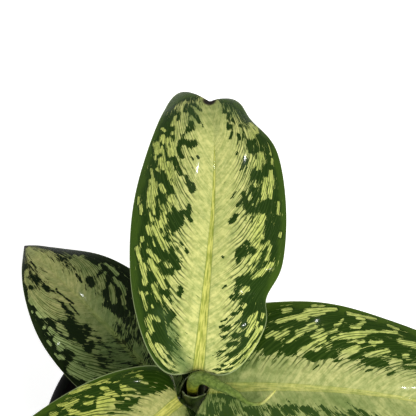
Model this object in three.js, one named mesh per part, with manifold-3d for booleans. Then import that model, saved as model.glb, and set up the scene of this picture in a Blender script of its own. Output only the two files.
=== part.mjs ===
// A dieffenbachia in its black plastic grow pot. Millimetres, +Z up, origin in the middle of the pot's underside.
// The blades grow from one green shoot, which stands in a plain hole in the potting mix. Nothing moves.
// In the photograph's view the viewer stands at -Y and looks down, with +X to the right.
import * as THREE from "three";
import Module from "manifold-3d";
import { mergeVertices } from "three/addons/utils/BufferGeometryUtils.js";

// ---------------------------------------------------------------- driving dimensions

const GAP = 0.3; // clearance between pieces that touch

const POT = {
  height: 120,
  rimRadius: 65, // outside of the rolled rim
  mouthRadius: 62, // outside of the wall, just below the rim
  baseRadius: 46,
  wall: 1.4,
  rimHeight: 7,
  ledgeHeight: 93, // stacking ledge, where the wall steps in
  ledgeStep: 1.2,
  segments: 48,
};
const DRAIN = { count: 8, radius: 4, ringRadius: 36, sides: 12 };

const SOIL = {
  top: 104, // mean height of the surface
  relief: 1.6, // height of its lumps
  rings: [57, 51, 44, 37, 30, 23, 16, 12], // radii of the rings that carry the lumps
  segments: 48,
};

const CANE = {
  foot: 75, // lower end, inside the soil
  tip: 166,
  radius: 8.5, // below the lowest leaf stalk
  tipRadius: 3.6,
  taperFrom: 125, // height where it starts to narrow towards the tip
  scars: [109, 115, 121], // heights of the rings left by fallen leaves
  scarBulge: 1,
  scarWidth: 1.5,
  easing: 0.3, // taken off the radius, so that the cane stands clear of its hole
  sides: 12,
  steps: 34,
};
// Middle line of the cane above the soil: it leans a little to the back left.
const CANE_LINE = [
  [0, 0, CANE.foot],
  [0, 0, 90],
  [0, 0, 107],
  [-0.5, 1.2, 132],
  [-1.8, 3.4, 152],
  [-2.2, 4.2, CANE.tip],
];

const BLADE = {
  thickness: 0.8,
  ribDepth: 2.2, // how far the midrib stands out of the underside at the leaf's base
  ribWidth: 2.6,
  alongSteps: 24,
  acrossSteps: 10,
  midribSteps: 96,
};

// One entry for each open leaf. base is the point where the blade meets its stalk. yaw, turn and hook steer the midrib
// seen from above, and pitch, arch and curl seen from the side, in degrees. left and right are the half widths, seen
// from the base. skew moves the widest place towards the base, and the two round values shape the base and the tip.
// stalk lists the middle line of the leaf stalk from the cane up to its neck, and stalkRadii its two radii. neckLean is
// how steeply the neck comes up under the blade, in degrees, and neckBehind how far behind the base it ends.
const LEAVES = {
  leaf_back: {
    base: [0, 9.3, 190],
    length: 120,
    left: 31.8,
    right: 29.3,
    yaw: 84.5,
    turn: 0,
    hook: 14,
    pitch: 9,
    arch: -22,
    curl: -14,
    curlFrom: 0.8,
    fold: 12,
    droop: 0.3,
    roll: 0,
    skew: 0.95,
    baseRound: 0.32,
    tipRound: 0.31,
    lobeLeft: 3.8,
    lobeRight: 2,
    lobeDrop: 1.5,
    notchLeft: 13,
    notchRight: 3,
    wave: 1,
    waves: 2.2,
    phase: 0.1,
    dents: [
      { side: -1, at: 0.27, spread: 0.06, inward: 3.6, down: 3 },
      { side: -1, at: 0.9, spread: 0.075, inward: 4.6, down: 1 },
    ],
    stalk: [
      [-0.5, 2, 128],
      [0.2, 7, 152],
      [0.6, 9, 168],
      [0.4, 9.1, 178],
    ],
    stalkRadii: [6.5, 2],
    neckLean: 95,
    neckBehind: 0.4,
  },
  leaf_right: {
    base: [4, 4.4, 182.3],
    length: 140,
    left: 36.5,
    right: 35,
    yaw: 1.4,
    turn: -14,
    hook: 0,
    pitch: 7,
    arch: -33,
    curl: -15,
    curlFrom: 0.85,
    fold: 10,
    droop: 0.27,
    roll: 1.5,
    skew: 0.46,
    baseRound: 0.33,
    tipRound: 0.92,
    lobeLeft: 1.5,
    lobeRight: 7.5,
    lobeDrop: 2,
    notchLeft: 0,
    notchRight: 0,
    wave: 1.1,
    waves: 3,
    phase: 0.3,
    dents: [],
    stalk: [
      [0, 0, 122],
      [4.4, 0.8, 146],
      [5.2, 3.2, 163],
      [4.7, 4.2, 171],
    ],
    stalkRadii: [6.8, 2.3],
    neckLean: 95,
    neckBehind: 0,
  },
  leaf_front_left: {
    base: [-7.5, 1.7, 176],
    length: 128,
    left: 34,
    right: 34.2,
    yaw: 223.8,
    turn: -3.2,
    hook: 0,
    pitch: 6,
    arch: -34,
    curl: -15,
    curlFrom: 0.85,
    fold: 10,
    droop: 0.26,
    roll: -5.8,
    skew: 0.8,
    baseRound: 0.38,
    tipRound: 0.9,
    lobeLeft: 4.2,
    lobeRight: 8,
    lobeDrop: 2,
    notchLeft: 0,
    notchRight: 0,
    wave: 1.1,
    waves: 3,
    phase: 0.6,
    dents: [],
    stalk: [
      [-1, 0, 118],
      [-5.6, -0.4, 144],
      [-8, 1.6, 158],
      [-8.2, 2, 166],
    ],
    stalkRadii: [7, 2.3],
    neckLean: 70,
    neckBehind: 1.1,
  },
  leaf_back_left: {
    base: [-10, 11, 152],
    length: 110,
    left: 26,
    right: 27.5,
    yaw: 130.5,
    turn: -3,
    hook: 0,
    pitch: -6,
    arch: -25,
    curl: -10,
    curlFrom: 0.85,
    fold: 12,
    droop: 0.26,
    roll: 0,
    skew: 0.66,
    baseRound: 0.53,
    tipRound: 0.9,
    lobeLeft: 3,
    lobeRight: 3,
    lobeDrop: 2,
    notchLeft: 0,
    notchRight: 0,
    wave: 0.9,
    waves: 2.5,
    phase: 0.2,
    dents: [],
    stalk: [
      [-0.5, 1, 115],
      [-5.5, 6, 131],
      [-8.6, 9.4, 141],
    ],
    stalkRadii: [7.4, 2.2],
    neckLean: 55,
    neckBehind: 1.1,
  },
  leaf_front: {
    base: [2, -9, 146],
    length: 112,
    left: 28,
    right: 27,
    yaw: 270,
    turn: 5,
    hook: 0,
    pitch: -2,
    arch: -36,
    curl: -12,
    curlFrom: 0.85,
    fold: 11,
    droop: 0.26,
    roll: 2,
    skew: 0.7,
    baseRound: 0.5,
    tipRound: 0.9,
    lobeLeft: 3,
    lobeRight: 3,
    lobeDrop: 2,
    notchLeft: 0,
    notchRight: 0,
    wave: 0.9,
    waves: 2.5,
    phase: 0.5,
    dents: [],
    stalk: [
      [0, -0.5, 110],
      [0.8, -5.2, 125],
      [1.7, -7.4, 135],
    ],
    stalkRadii: [7.8, 2.2],
    neckLean: 55,
    neckBehind: 1.1,
  },
};

const STALK_SIDES = 8;
const STALK_STEPS = 12;
const STALK_BELOW = 3.9; // how far the middle of a stalk's end lies below the blade's upper face
const NECK_LENGTH = 3; // the straight end of a stalk

// Sheaths: thin open cups round the rolled leaf. from and to are the angles that each one covers. Its rim runs through
// the three heights: over from, halfway, and over to.
const SHEATHS = [
  { centre: [-2, 4], radius: 4.9, bottom: 146, from: 70, to: 172, rim: [184, 181.5, 177], thickness: 0.9 },
  { centre: [-1.6, 4.4], radius: 4.3, bottom: 146, from: 188, to: 335, rim: [181.5, 186, 182.5], thickness: 0.9 },
];

const SHEATH_FLARE = 0.4; // how far a sheath's rim leans outwards

// The rolled leaf: points of its middle line with the radius of the roll there. It rises from the cane's tip, bends
// over to the right above leaf_right, and ends in a thin tail.
const ROLL = {
  line: [
    [-2.2, 4.2, CANE.tip + 2 * GAP],
    [-2.2, 4.5, 178],
    [-2, 4.4, 186],
    [-0.8, 4.4, 190.8],
    [2.6, 3.7, 193.2],
    [6.8, 1.6, 192.8],
    [10, 0.6, 192],
    [12.4, -0.3, 191.4],
    [14.6, -1.3, 190.9],
    [16.8, -2.9, 190.3],
    [19.6, -4.2, 189.9],
    [24, -3.9, 189.5],
    [27.2, -1.2, 189.7],
    [29.4, 1.1, 190.2],
  ],
  radii: [2.1, 2.2, 2.6, 2.9, 2.7, 2.4, 2, 1.7, 1.5, 1.2, 0.9, 0.7, 0.6, 0.5],
  seamStep: 0.14, // how far the outer edge of the roll stands out, as a share of the radius
  sides: 12,
  steps: 34,
};

// ---------------------------------------------------------------- colours and finishes

const finish = (colour, roughness, metalness = 0) =>
  new THREE.MeshStandardMaterial({ color: colour, roughness, metalness });
const BLACK_PLASTIC = finish(0x17171a, 0.55);
const POTTING_MIX = finish(0x3a2a1e, 0.95);
const SHOOT_GREEN = finish(0x5d8f3e, 0.45);
const ROLLED_GREEN = finish(0x648c46, 0.5);
const bladeFinish = () => finish(0x7d9a4c, 0.38);

// ---------------------------------------------------------------- helpers

const wasm = await Module();
wasm.setup();

const radians = THREE.MathUtils.degToRad;
const smooth = (x, from, to) => THREE.MathUtils.smoothstep(x, from, to);

// A closed geometry as a solid that can be joined and cut.
function solidOf(geometry) {
  const bare = geometry.clone();
  bare.deleteAttribute("normal");
  bare.deleteAttribute("uv");
  const merged = mergeVertices(bare, 1e-4);
  const vertProperties = new Float32Array(merged.getAttribute("position").array);
  const triVerts = new Uint32Array(merged.index.array);
  return new wasm.Manifold(new wasm.Mesh({ numProp: 3, vertProperties, triVerts }));
}

// A joined or cut solid back as a geometry.
function geometryOf(solid) {
  const mesh = solid.getMesh();
  const geometry = new THREE.BufferGeometry();
  geometry.setAttribute("position", new THREE.BufferAttribute(new Float32Array(mesh.vertProperties), 3));
  geometry.setIndex(new THREE.BufferAttribute(new Uint32Array(mesh.triVerts), 1));
  geometry.computeVertexNormals();
  return geometry;
}

function namedMesh(name, geometry, material) {
  const mesh = new THREE.Mesh(geometry, material);
  mesh.name = name;
  return mesh;
}

// A solid of revolution about Z from [radius, height] pairs, in order from the bottom up on the outside.
function turned(profile, segments) {
  const outline = profile.map(([radius, height]) => new THREE.Vector2(radius, height));
  return new THREE.LatheGeometry(outline, segments).rotateX(Math.PI / 2);
}

// A round bar along a smooth line, capped at both ends. radiusAt gives its radius at t from 0 to 1, and at angle turn.
function bar(line, radiusAt, sides, steps) {
  const curve = new THREE.CatmullRomCurve3(line.map((point) => new THREE.Vector3(...point)), false, "centripetal");
  const frames = curve.computeFrenetFrames(steps);
  const geometry = new THREE.CylinderGeometry(1, 1, 1, sides, steps);
  const position = geometry.getAttribute("position");
  const centres = curve.getSpacedPoints(steps);
  for (let i = 0; i < position.count; i += 1) {
    const step = Math.round((position.getY(i) + 0.5) * steps);
    const angle = Math.atan2(position.getX(i), position.getZ(i));
    const onCap = Math.hypot(position.getX(i), position.getZ(i)) < 0.5;
    const radius = onCap ? 0 : radiusAt(step / steps, angle);
    const point = centres[step].clone();
    point.addScaledVector(frames.normals[step], radius * Math.sin(angle));
    point.addScaledVector(frames.binormals[step], -radius * Math.cos(angle));
    position.setXYZ(i, point.x, point.y, point.z);
  }
  return geometry;
}

// The share of a line's length at which each of its points lies, from 0 to 1.
function sharesOf(line) {
  const reached = [0];
  for (let i = 1; i < line.length; i += 1) {
    reached.push(reached[i - 1] + Math.hypot(...line[i].map((value, axis) => value - line[i - 1][axis])));
  }
  return reached.map((length) => length / reached[line.length - 1]);
}

// The value at a place between values that are given at rising places.
function between(places, values, place) {
  const next = Math.max(1, places.findIndex((other, i) => other >= place || i === places.length - 1));
  const share = (place - places[next - 1]) / (places[next] - places[next - 1]);
  return THREE.MathUtils.lerp(values[next - 1], values[next], share);
}

// Closes a grid of points with a copy of itself set below it, split into triangles alike on both faces.
// upper and lower are arrays of rows, each an array of Vector3.
function closedSheet(upper, lower) {
  const rows = upper.length;
  const columns = upper[0].length;
  const points = [...upper.flat(), ...lower.flat()];
  const under = rows * columns;
  const index = [];
  const at = (row, column) => row * columns + column;
  for (let row = 0; row < rows - 1; row += 1) {
    for (let column = 0; column < columns - 1; column += 1) {
      const [a, b, c, d] = [at(row, column), at(row, column + 1), at(row + 1, column + 1), at(row + 1, column)];
      index.push(a, b, c, a, c, d);
      index.push(under + a, under + c, under + b, under + a, under + d, under + c);
    }
  }
  const rim = [];
  for (let column = 0; column < columns - 1; column += 1) rim.push(at(0, column));
  for (let row = 0; row < rows - 1; row += 1) rim.push(at(row, columns - 1));
  for (let column = columns - 1; column > 0; column -= 1) rim.push(at(rows - 1, column));
  for (let row = rows - 1; row > 0; row -= 1) rim.push(at(row, 0));
  rim.forEach((corner, i) => {
    const next = rim[(i + 1) % rim.length];
    index.push(corner, under + corner, under + next, corner, under + next, next);
  });
  const geometry = new THREE.BufferGeometry().setFromPoints(points);
  geometry.setIndex(index);
  geometry.computeVertexNormals();
  return geometry;
}

// ---------------------------------------------------------------- leaf blades

// The midrib: a list of frames from base to tip, each with its point, direction, left side and upward normal.
function midribOf(leaf) {
  const steps = BLADE.midribSteps;
  const point = new THREE.Vector3(...leaf.base);
  const frames = [];
  let previous = null;
  for (let i = 0; i <= steps; i += 1) {
    const s = i / steps;
    const yaw = radians(leaf.yaw + leaf.turn * s + leaf.hook * s ** 3);
    const pitch = radians(leaf.pitch + leaf.arch * s + leaf.curl * smooth(s, leaf.curlFrom, 1));
    const level = new THREE.Vector3(Math.cos(yaw), Math.sin(yaw), 0);
    const along = level.multiplyScalar(Math.cos(pitch)).setZ(Math.sin(pitch));
    const side = new THREE.Vector3(-Math.sin(yaw), Math.cos(yaw), 0);
    if (previous) {
      point.addScaledVector(previous.clone().add(along).normalize(), leaf.length / steps);
    }
    frames.push({ point: point.clone(), along, side, normal: along.clone().cross(side) });
    previous = along;
  }
  return frames;
}

// The midrib's frame at a distance from the base, carried on straight past both ends.
function frameAt(midrib, leaf, distance) {
  const place = THREE.MathUtils.clamp(distance / leaf.length, 0, 1) * BLADE.midribSteps;
  const first = Math.min(Math.floor(place), BLADE.midribSteps - 1);
  const share = place - first;
  const [a, b] = [midrib[first], midrib[first + 1]];
  const frame = {};
  for (const key of ["point", "along", "side", "normal"]) frame[key] = a[key].clone().lerp(b[key], share);
  const beyond = Math.min(distance, 0) + Math.max(distance - leaf.length, 0);
  frame.point.addScaledVector(frame.along, beyond);
  const roll = radians(leaf.roll);
  const { side, normal } = frame;
  frame.side = side.clone().multiplyScalar(Math.cos(roll)).addScaledVector(normal, Math.sin(roll));
  frame.normal = normal.clone().multiplyScalar(Math.cos(roll)).addScaledVector(side, -Math.sin(roll));
  return frame;
}

// Half width at s, from 0 at the base to 1 at the tip, as a share of the greatest.
function outlineAt(leaf, s) {
  const power = leaf.baseRound * (1 - s * s) + leaf.tipRound * s * s;
  const inside = THREE.MathUtils.clamp(s, 1e-6, 1 - 1e-6);
  return Math.sin(Math.PI * inside ** leaf.skew) ** power;
}

// A point of the upper face: s runs from base to tip, and tau from -1 at the right margin to 1 at the left one.
function bladePoint(leaf, midrib, s, tau) {
  const side = tau < 0 ? -1 : 1;
  const out = Math.abs(tau);
  const fullWidth = side > 0 ? leaf.left : leaf.right;
  let width = fullWidth * outlineAt(leaf, s);
  let drop = 0;
  for (const dent of leaf.dents) {
    const share = dent.side === side ? Math.exp(-(((s - dent.at) / dent.spread) ** 2)) : 0;
    width -= dent.inward * share;
    drop += dent.down * share * out * out;
  }
  const bulge = Math.sin(Math.PI * THREE.MathUtils.clamp((out * width) / fullWidth / 0.9, 0, 1));
  const lobe = side > 0 ? leaf.lobeLeft : leaf.lobeRight;
  const notch = side > 0 ? leaf.notchLeft : leaf.notchRight;
  const distance = s * leaf.length - lobe * bulge ** 1.2 * (1 - s) ** 6 + notch * bulge * s ** 9;
  const turns = leaf.waves * s + leaf.phase + (side < 0 ? 0.37 : 0);
  const ripple = leaf.wave * Math.sin(2 * Math.PI * turns) * smooth(s, 0, 0.15) * (1 - smooth(s, 0.9, 1));
  const height =
    Math.tan(radians(leaf.fold)) * out * width -
    leaf.droop * out * out * width +
    ripple * out * out -
    drop -
    leaf.lobeDrop * out * (1 - s) ** 7;
  const frame = frameAt(midrib, leaf, distance);
  frame.point.addScaledVector(frame.side, side * out * width).addScaledVector(frame.normal, height);
  const depth = BLADE.thickness + BLADE.ribDepth * (1 - 0.85 * s) * Math.exp(-((out * width / BLADE.ribWidth) ** 2));
  return { top: frame.point, bottom: frame.point.clone().addScaledVector(frame.normal, -depth) };
}

// A blade: a square grid drawn out to a disc, and the disc to the leaf's outline.
function bladeOf(leaf) {
  const midrib = midribOf(leaf);
  const upper = [];
  const lower = [];
  for (let row = 0; row <= BLADE.alongSteps; row += 1) {
    const b = (2 * row) / BLADE.alongSteps - 1;
    const tops = [];
    const bottoms = [];
    for (let column = 0; column <= BLADE.acrossSteps; column += 1) {
      const even = 1 - (2 * column) / BLADE.acrossSteps;
      const a = even * Math.abs(even) ** 0.3;
      const x = b * Math.sqrt(1 - (a * a) / 2);
      const y = a * Math.sqrt(1 - (b * b) / 2);
      const edge = Math.sqrt(Math.max(1 - x * x, 1e-9));
      const { top, bottom } = bladePoint(leaf, midrib, (x + 1) / 2, THREE.MathUtils.clamp(y / edge, -1, 1));
      tops.push(top);
      bottoms.push(bottom);
    }
    upper.push(tops);
    lower.push(bottoms);
  }
  return closedSheet(upper, lower);
}

// ---------------------------------------------------------------- pot

function potGeometry() {
  const { height, rimRadius, mouthRadius, baseRadius, wall, rimHeight, ledgeHeight, ledgeStep } = POT;
  const slope = (mouthRadius - baseRadius) / height;
  const outside = (z) => baseRadius + slope * z;
  const inside = (z) => outside(z) - wall;
  const profile = [
    [0, 0],
    [baseRadius - 2, 0],
    [baseRadius - 0.6, 0.6],
    [outside(2) - ledgeStep / 2, 2],
    [outside(ledgeHeight - 1) - ledgeStep, ledgeHeight - 1],
    [outside(ledgeHeight + 1), ledgeHeight + 1],
    [outside(height - rimHeight), height - rimHeight],
    [rimRadius - 0.8, height - rimHeight],
    [rimRadius, height - rimHeight + 0.8],
    [rimRadius, height - 1.4],
    [rimRadius - 1.2, height],
    [inside(height) + 1, height],
    [inside(height), height - 1],
    [inside(ledgeHeight + 1), ledgeHeight + 1],
    [inside(ledgeHeight - 1) - ledgeStep, ledgeHeight - 1],
    [inside(wall + 3) - ledgeStep, wall + 3],
    [inside(wall) - ledgeStep - 2, wall],
    [0, wall],
  ];
  let pot = solidOf(turned(profile, POT.segments));
  for (let i = 0; i < DRAIN.count; i += 1) {
    const angle = (2 * Math.PI * i) / DRAIN.count;
    const cutter = new THREE.CylinderGeometry(DRAIN.radius, DRAIN.radius, 4 * wall, DRAIN.sides);
    cutter.rotateX(Math.PI / 2);
    cutter.translate(DRAIN.ringRadius * Math.cos(angle), DRAIN.ringRadius * Math.sin(angle), wall / 2);
    pot = pot.subtract(solidOf(cutter));
  }
  return geometryOf(pot);
}

// ---------------------------------------------------------------- soil

// Height of the lumps in the surface of the potting mix.
function lumps(x, y) {
  const broad = Math.sin(0.19 * x + 0.7) * Math.cos(0.23 * y - 0.4);
  const fine = Math.sin(0.61 * x + 1.9) * Math.sin(0.53 * y + 0.8);
  return SOIL.relief * (0.6 * broad + 0.4 * fine);
}

function soilGeometry() {
  const slope = (POT.mouthRadius - POT.baseRadius) / POT.height;
  const shell = POT.wall + POT.ledgeStep + GAP;
  const fit = (z) => POT.baseRadius + slope * z - shell;
  const hole = CANE.radius + GAP;
  const profile = [
    [0, POT.wall + GAP],
    [fit(POT.wall) - 2.6, POT.wall + GAP],
    [fit(POT.wall + 3), POT.wall + 3 + GAP],
    [fit(POT.ledgeHeight - 3), POT.ledgeHeight - 3],
    [fit(SOIL.top) - 0.6, SOIL.top - 2.4],
    ...SOIL.rings.map((radius) => [radius, SOIL.top]),
    [hole, SOIL.top],
    [hole, CANE.foot - GAP],
    [0, CANE.foot - GAP],
  ];
  const geometry = turned(profile, SOIL.segments);
  const position = geometry.getAttribute("position");
  for (let i = 0; i < position.count; i += 1) {
    if (Math.abs(position.getZ(i) - SOIL.top) < 1e-6) {
      position.setZ(i, SOIL.top + lumps(position.getX(i), position.getY(i)));
    }
  }
  return geometry;
}

// ---------------------------------------------------------------- shoot

function caneGeometry() {
  const [bottom, top] = [CANE.foot, CANE.tip];
  const radiusAt = (t) => {
    const z = bottom + (top - bottom) * t;
    const taper = THREE.MathUtils.lerp(CANE.radius, CANE.tipRadius, smooth(z, CANE.taperFrom, top - 4));
    const bulge = CANE.scars.reduce((sum, scar) => sum + Math.exp(-(((z - scar) / CANE.scarWidth) ** 2)), 0);
    return taper - CANE.easing + CANE.scarBulge * bulge;
  };
  return bar(CANE_LINE, radiusAt, CANE.sides, CANE.steps);
}

// A leaf stalk: a thick sheathing foot on the cane, drawn out to a slim neck that bends over to meet the blade.
function stalkGeometry(leaf) {
  const [foot, neck] = leaf.stalkRadii;
  const start = midribOf(leaf)[0];
  const end = start.point.clone().addScaledVector(start.along, -leaf.neckBehind);
  end.addScaledVector(start.normal, -STALK_BELOW);
  const lean = radians(leaf.neckLean);
  const before = end.clone().addScaledVector(start.along, -NECK_LENGTH * Math.cos(lean));
  before.addScaledVector(start.normal, -NECK_LENGTH * Math.sin(lean));
  const line = [...leaf.stalk, before.toArray(), end.toArray()];
  const radiusAt = (t) => THREE.MathUtils.lerp(foot, neck, smooth(t, 0, 0.75) ** 0.6);
  return bar(line, radiusAt, STALK_SIDES, STALK_STEPS);
}

function sheathGeometry({ centre, radius, bottom, from, to, rim, thickness }) {
  const around = 8;
  const rises = 6;
  const faces = [radius + thickness / 2, radius - thickness / 2].map((distance) => {
    const rows = [];
    for (let row = 0; row <= rises; row += 1) {
      const points = [];
      for (let column = 0; column <= around; column += 1) {
        const share = column / around;
        const angle = radians(THREE.MathUtils.lerp(from, to, share));
        const rise = (1 - share) * (1 - 2 * share) * rim[0] + 4 * share * (1 - share) * rim[1];
        const top = rise + share * (2 * share - 1) * rim[2];
        const z = THREE.MathUtils.lerp(bottom, top, row / rises);
        const flare = distance + SHEATH_FLARE * (row / rises) ** 3;
        points.push(new THREE.Vector3(centre[0] + flare * Math.cos(angle), centre[1] + flare * Math.sin(angle), z));
      }
      rows.push(points);
    }
    return rows;
  });
  return closedSheet(faces[0], faces[1]);
}

function shootGeometry() {
  let shoot = solidOf(caneGeometry());
  for (const leaf of Object.values(LEAVES)) shoot = shoot.add(solidOf(stalkGeometry(leaf)));
  for (const sheath of SHEATHS) shoot = shoot.add(solidOf(sheathGeometry(sheath)));
  return geometryOf(shoot);
}

// The rolled blade's outer edge stands out a little and runs along the roll as a seam.
function rollGeometry() {
  const places = sharesOf(ROLL.line);
  const radiusAt = (t, angle) => {
    const round = (angle + Math.PI) / (2 * Math.PI);
    const wound = (round + 0.35 + 0.5 * t) % 1;
    return between(places, ROLL.radii, t) * (1 - ROLL.seamStep * wound);
  };
  return bar(ROLL.line, radiusAt, ROLL.sides, ROLL.steps);
}

// ---------------------------------------------------------------- assembly

const group = new THREE.Group();
group.add(namedMesh("pot", potGeometry(), BLACK_PLASTIC));
group.add(namedMesh("soil", soilGeometry(), POTTING_MIX));
group.add(namedMesh("shoot", shootGeometry(), SHOOT_GREEN));
for (const [name, leaf] of Object.entries(LEAVES)) group.add(namedMesh(name, bladeOf(leaf), bladeFinish()));
group.add(namedMesh("rolled_leaf", rollGeometry(), ROLLED_GREEN));

export default group;
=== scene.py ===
"""Looks of the potted dieffenbachia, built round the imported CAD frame. Metres, Z up."""

import math
import random

import bmesh
import bpy
from mathutils import Matrix, Vector, noise


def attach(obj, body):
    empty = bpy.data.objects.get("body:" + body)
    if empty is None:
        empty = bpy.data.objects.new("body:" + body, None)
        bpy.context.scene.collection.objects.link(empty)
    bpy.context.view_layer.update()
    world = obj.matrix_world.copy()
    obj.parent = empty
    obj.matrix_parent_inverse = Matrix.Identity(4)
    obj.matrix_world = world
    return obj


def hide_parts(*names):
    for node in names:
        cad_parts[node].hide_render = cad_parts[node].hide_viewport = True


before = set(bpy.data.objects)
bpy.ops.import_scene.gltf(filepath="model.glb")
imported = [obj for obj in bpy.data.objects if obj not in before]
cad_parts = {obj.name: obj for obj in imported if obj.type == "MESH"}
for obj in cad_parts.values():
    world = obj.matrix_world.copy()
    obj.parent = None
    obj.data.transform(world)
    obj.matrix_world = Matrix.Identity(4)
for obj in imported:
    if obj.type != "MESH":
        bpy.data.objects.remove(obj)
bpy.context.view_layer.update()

# ------------------------------------------------------------ pot
# A black grow pot, blown in one thin wall of polypropylene. Its rim is turned over for stiffness, the wall
# steps in at a stacking ledge, and eight holes in the floor let the water out.

MM = 0.001  # the sizes below are in millimetres, and Blender's are in metres
POT_HEIGHT = 120
POT_RIM_RADIUS = 65
POT_MOUTH_RADIUS = 62
POT_BASE_RADIUS = 46
POT_WALL = 1.4
POT_RIM_HEIGHT = 7
POT_LEDGE_HEIGHT = 93
POT_LEDGE_STEP = 1.2
POT_FACETS = 128
POT_CREASE = 38  # degrees between two faces, past which their edge stays sharp
DRAIN_HOLES = 8
DRAIN_RADIUS = 4
DRAIN_RING_RADIUS = 36
DRAIN_FACETS = 32
PUNCH_LENGTH = 10
BLACK_PLASTIC = (0.004, 0.004, 0.0045)
DUSTY_PLASTIC = (0.016, 0.015, 0.013)


def join_to_scene(name, build, finishes, slot, *nodes):
    """Turns a bmesh into a piece that rides on the plant and stands for CAD nodes."""
    mesh = bpy.data.meshes.new(name)
    build.to_mesh(mesh)
    build.free()
    mesh.shade_smooth()
    for finish in finishes:
        mesh.materials.append(finish)
    piece = bpy.data.objects.new(name, mesh)
    bpy.context.scene.collection.objects.link(piece)
    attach(piece, "root")
    if nodes:
        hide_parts(*nodes)
    return piece


def feed(tree, sockets, values):
    """Joins each socket to the one given for it, or sets it to a value. A colour comes without its alpha."""
    for name, value in values.items():
        if isinstance(value, bpy.types.NodeSocket):
            tree.links.new(value, sockets[name])
        elif sockets[name].type == "RGBA":
            sockets[name].default_value = (*value, 1)
        else:
            sockets[name].default_value = value


def add_node(tree, kind, inputs=(), **settings):
    """A shader node with its settings, and with values or joined sockets on its inputs."""
    node = tree.nodes.new(kind)
    for name, value in settings.items():
        setattr(node, name, value)
    feed(tree, node.inputs, dict(inputs))
    return node


def sums(tree, operation, *values):
    """One Math node's result."""
    return add_node(tree, "ShaderNodeMath", dict(enumerate(values)), operation=operation).outputs[0]


def times(tree, first, second):
    """The product of two values."""
    return sums(tree, "MULTIPLY", first, second)


def blend(tree, share, first, second, how="MIX"):
    """Two colours mixed."""
    inputs = {0: share, 6: first, 7: second}
    return add_node(tree, "ShaderNodeMix", inputs, data_type="RGBA", blend_type=how).outputs[2]


def ramp(tree, value, low, high, to_low=0.0, to_high=1.0):
    """A soft step of a value from low to high."""
    inputs = {0: value, 1: low, 2: high, 3: to_low, 4: to_high}
    return add_node(tree, "ShaderNodeMapRange", inputs, interpolation_type="SMOOTHSTEP").outputs[0]


def cloud(tree, place, scale, detail=2.0, roughness=0.5):
    """Soft noise from 0 to 1."""
    inputs = {"Vector": place, "Scale": scale, "Detail": detail, "Roughness": roughness}
    return add_node(tree, "ShaderNodeTexNoise", inputs).outputs[0]


def squeeze(tree, place, shares):
    """A place squeezed along its axes, which draws a pattern out along them."""
    return add_node(tree, "ShaderNodeMapping", {"Vector": place, "Scale": shares}).outputs[0]


def relief(tree, height, strength, depth):
    """A normal that follows fine relief, with its depth in millimetres."""
    inputs = {"Height": height, "Strength": strength, "Distance": depth * MM}
    return add_node(tree, "ShaderNodeBump", inputs).outputs[0]


def new_finish(name):
    """A material with its tree, its shader and the object's own coordinates."""
    material = bpy.data.materials.new(name)
    material.use_nodes = True
    tree = material.node_tree
    shader = tree.nodes["Principled BSDF"]
    place = add_node(tree, "ShaderNodeTexCoord").outputs["Object"]
    return material, tree, shader, place


def pot_plastic():
    """Black plastic with a faint satin grain, a film of dust and a few watering marks."""
    material, tree, shader, place = new_finish("black plastic")
    film = cloud(tree, place, 60, 5, 0.6)
    marks = cloud(tree, squeeze(tree, place, (1, 1, 0.25)), 140, 4, 0.65)
    dust = times(tree, ramp(tree, film, 0.45, 0.75), ramp(tree, marks, 0.4, 0.7))
    feed(tree, shader.inputs, {
        "Base Color": blend(tree, dust, BLACK_PLASTIC, DUSTY_PLASTIC),
        "Roughness": ramp(tree, film, 0.3, 0.8, 0.34, 0.55),
        "Specular IOR Level": 0.16,
        "Normal": relief(tree, cloud(tree, place, 2600), 0.25, 0.08),
    })
    return material


def pot_outside(height):
    """Radius of the pot's outer wall at a height, before the ledge steps in."""
    return POT_BASE_RADIUS + (POT_MOUTH_RADIUS - POT_BASE_RADIUS) * height / POT_HEIGHT


def pot_shell():
    """The pot's wall in one profile, from under its middle up over the rim and down inside, spun round."""
    top = POT_HEIGHT
    below_rim = top - POT_RIM_HEIGHT
    ledge = POT_LEDGE_HEIGHT
    step = POT_LEDGE_STEP
    profile = [
        (0, 0),
        (POT_BASE_RADIUS - 2, 0),
        (POT_BASE_RADIUS - 0.7, 0.5),
        (pot_outside(2) - step / 2, 2),
        (pot_outside(46) - step, 46),
        (pot_outside(ledge - 1) - step, ledge - 1),
        (pot_outside(ledge + 0.4) - 0.2, ledge + 0.3),
        (pot_outside(ledge + 1), ledge + 1),
        (pot_outside(below_rim), below_rim),
        (POT_RIM_RADIUS - 0.9, below_rim),
        (POT_RIM_RADIUS - 0.2, below_rim + 0.3),
        (POT_RIM_RADIUS, below_rim + 1),
        (POT_RIM_RADIUS, top - 1.5),
        (POT_RIM_RADIUS - 0.4, top - 0.5),
        (POT_RIM_RADIUS - 1.4, top),
        (pot_outside(top) - POT_WALL + 1, top),
        (pot_outside(top) - POT_WALL + 0.3, top - 0.3),
        (pot_outside(top) - POT_WALL, top - 1),
        (pot_outside(ledge + 1) - POT_WALL, ledge + 1),
        (pot_outside(ledge - 1) - POT_WALL - step, ledge - 1),
        (pot_outside(4.4) - POT_WALL - step, 4.4),
        (pot_outside(POT_WALL) - POT_WALL - step - 2, POT_WALL),
        (0, POT_WALL),
    ]
    build = bmesh.new()
    corners = [build.verts.new((radius * MM, 0, height * MM)) for radius, height in profile]
    edges = [build.edges.new(pair) for pair in zip(corners, corners[1:])]
    bmesh.ops.spin(
        build, geom=corners + edges, axis=(0, 0, 1), cent=(0, 0, 0), angle=2 * math.pi, steps=POT_FACETS,
        use_merge=True,
    )
    bmesh.ops.remove_doubles(build, verts=build.verts, dist=1e-6)
    bmesh.ops.recalc_face_normals(build, faces=build.faces)
    return build


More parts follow.
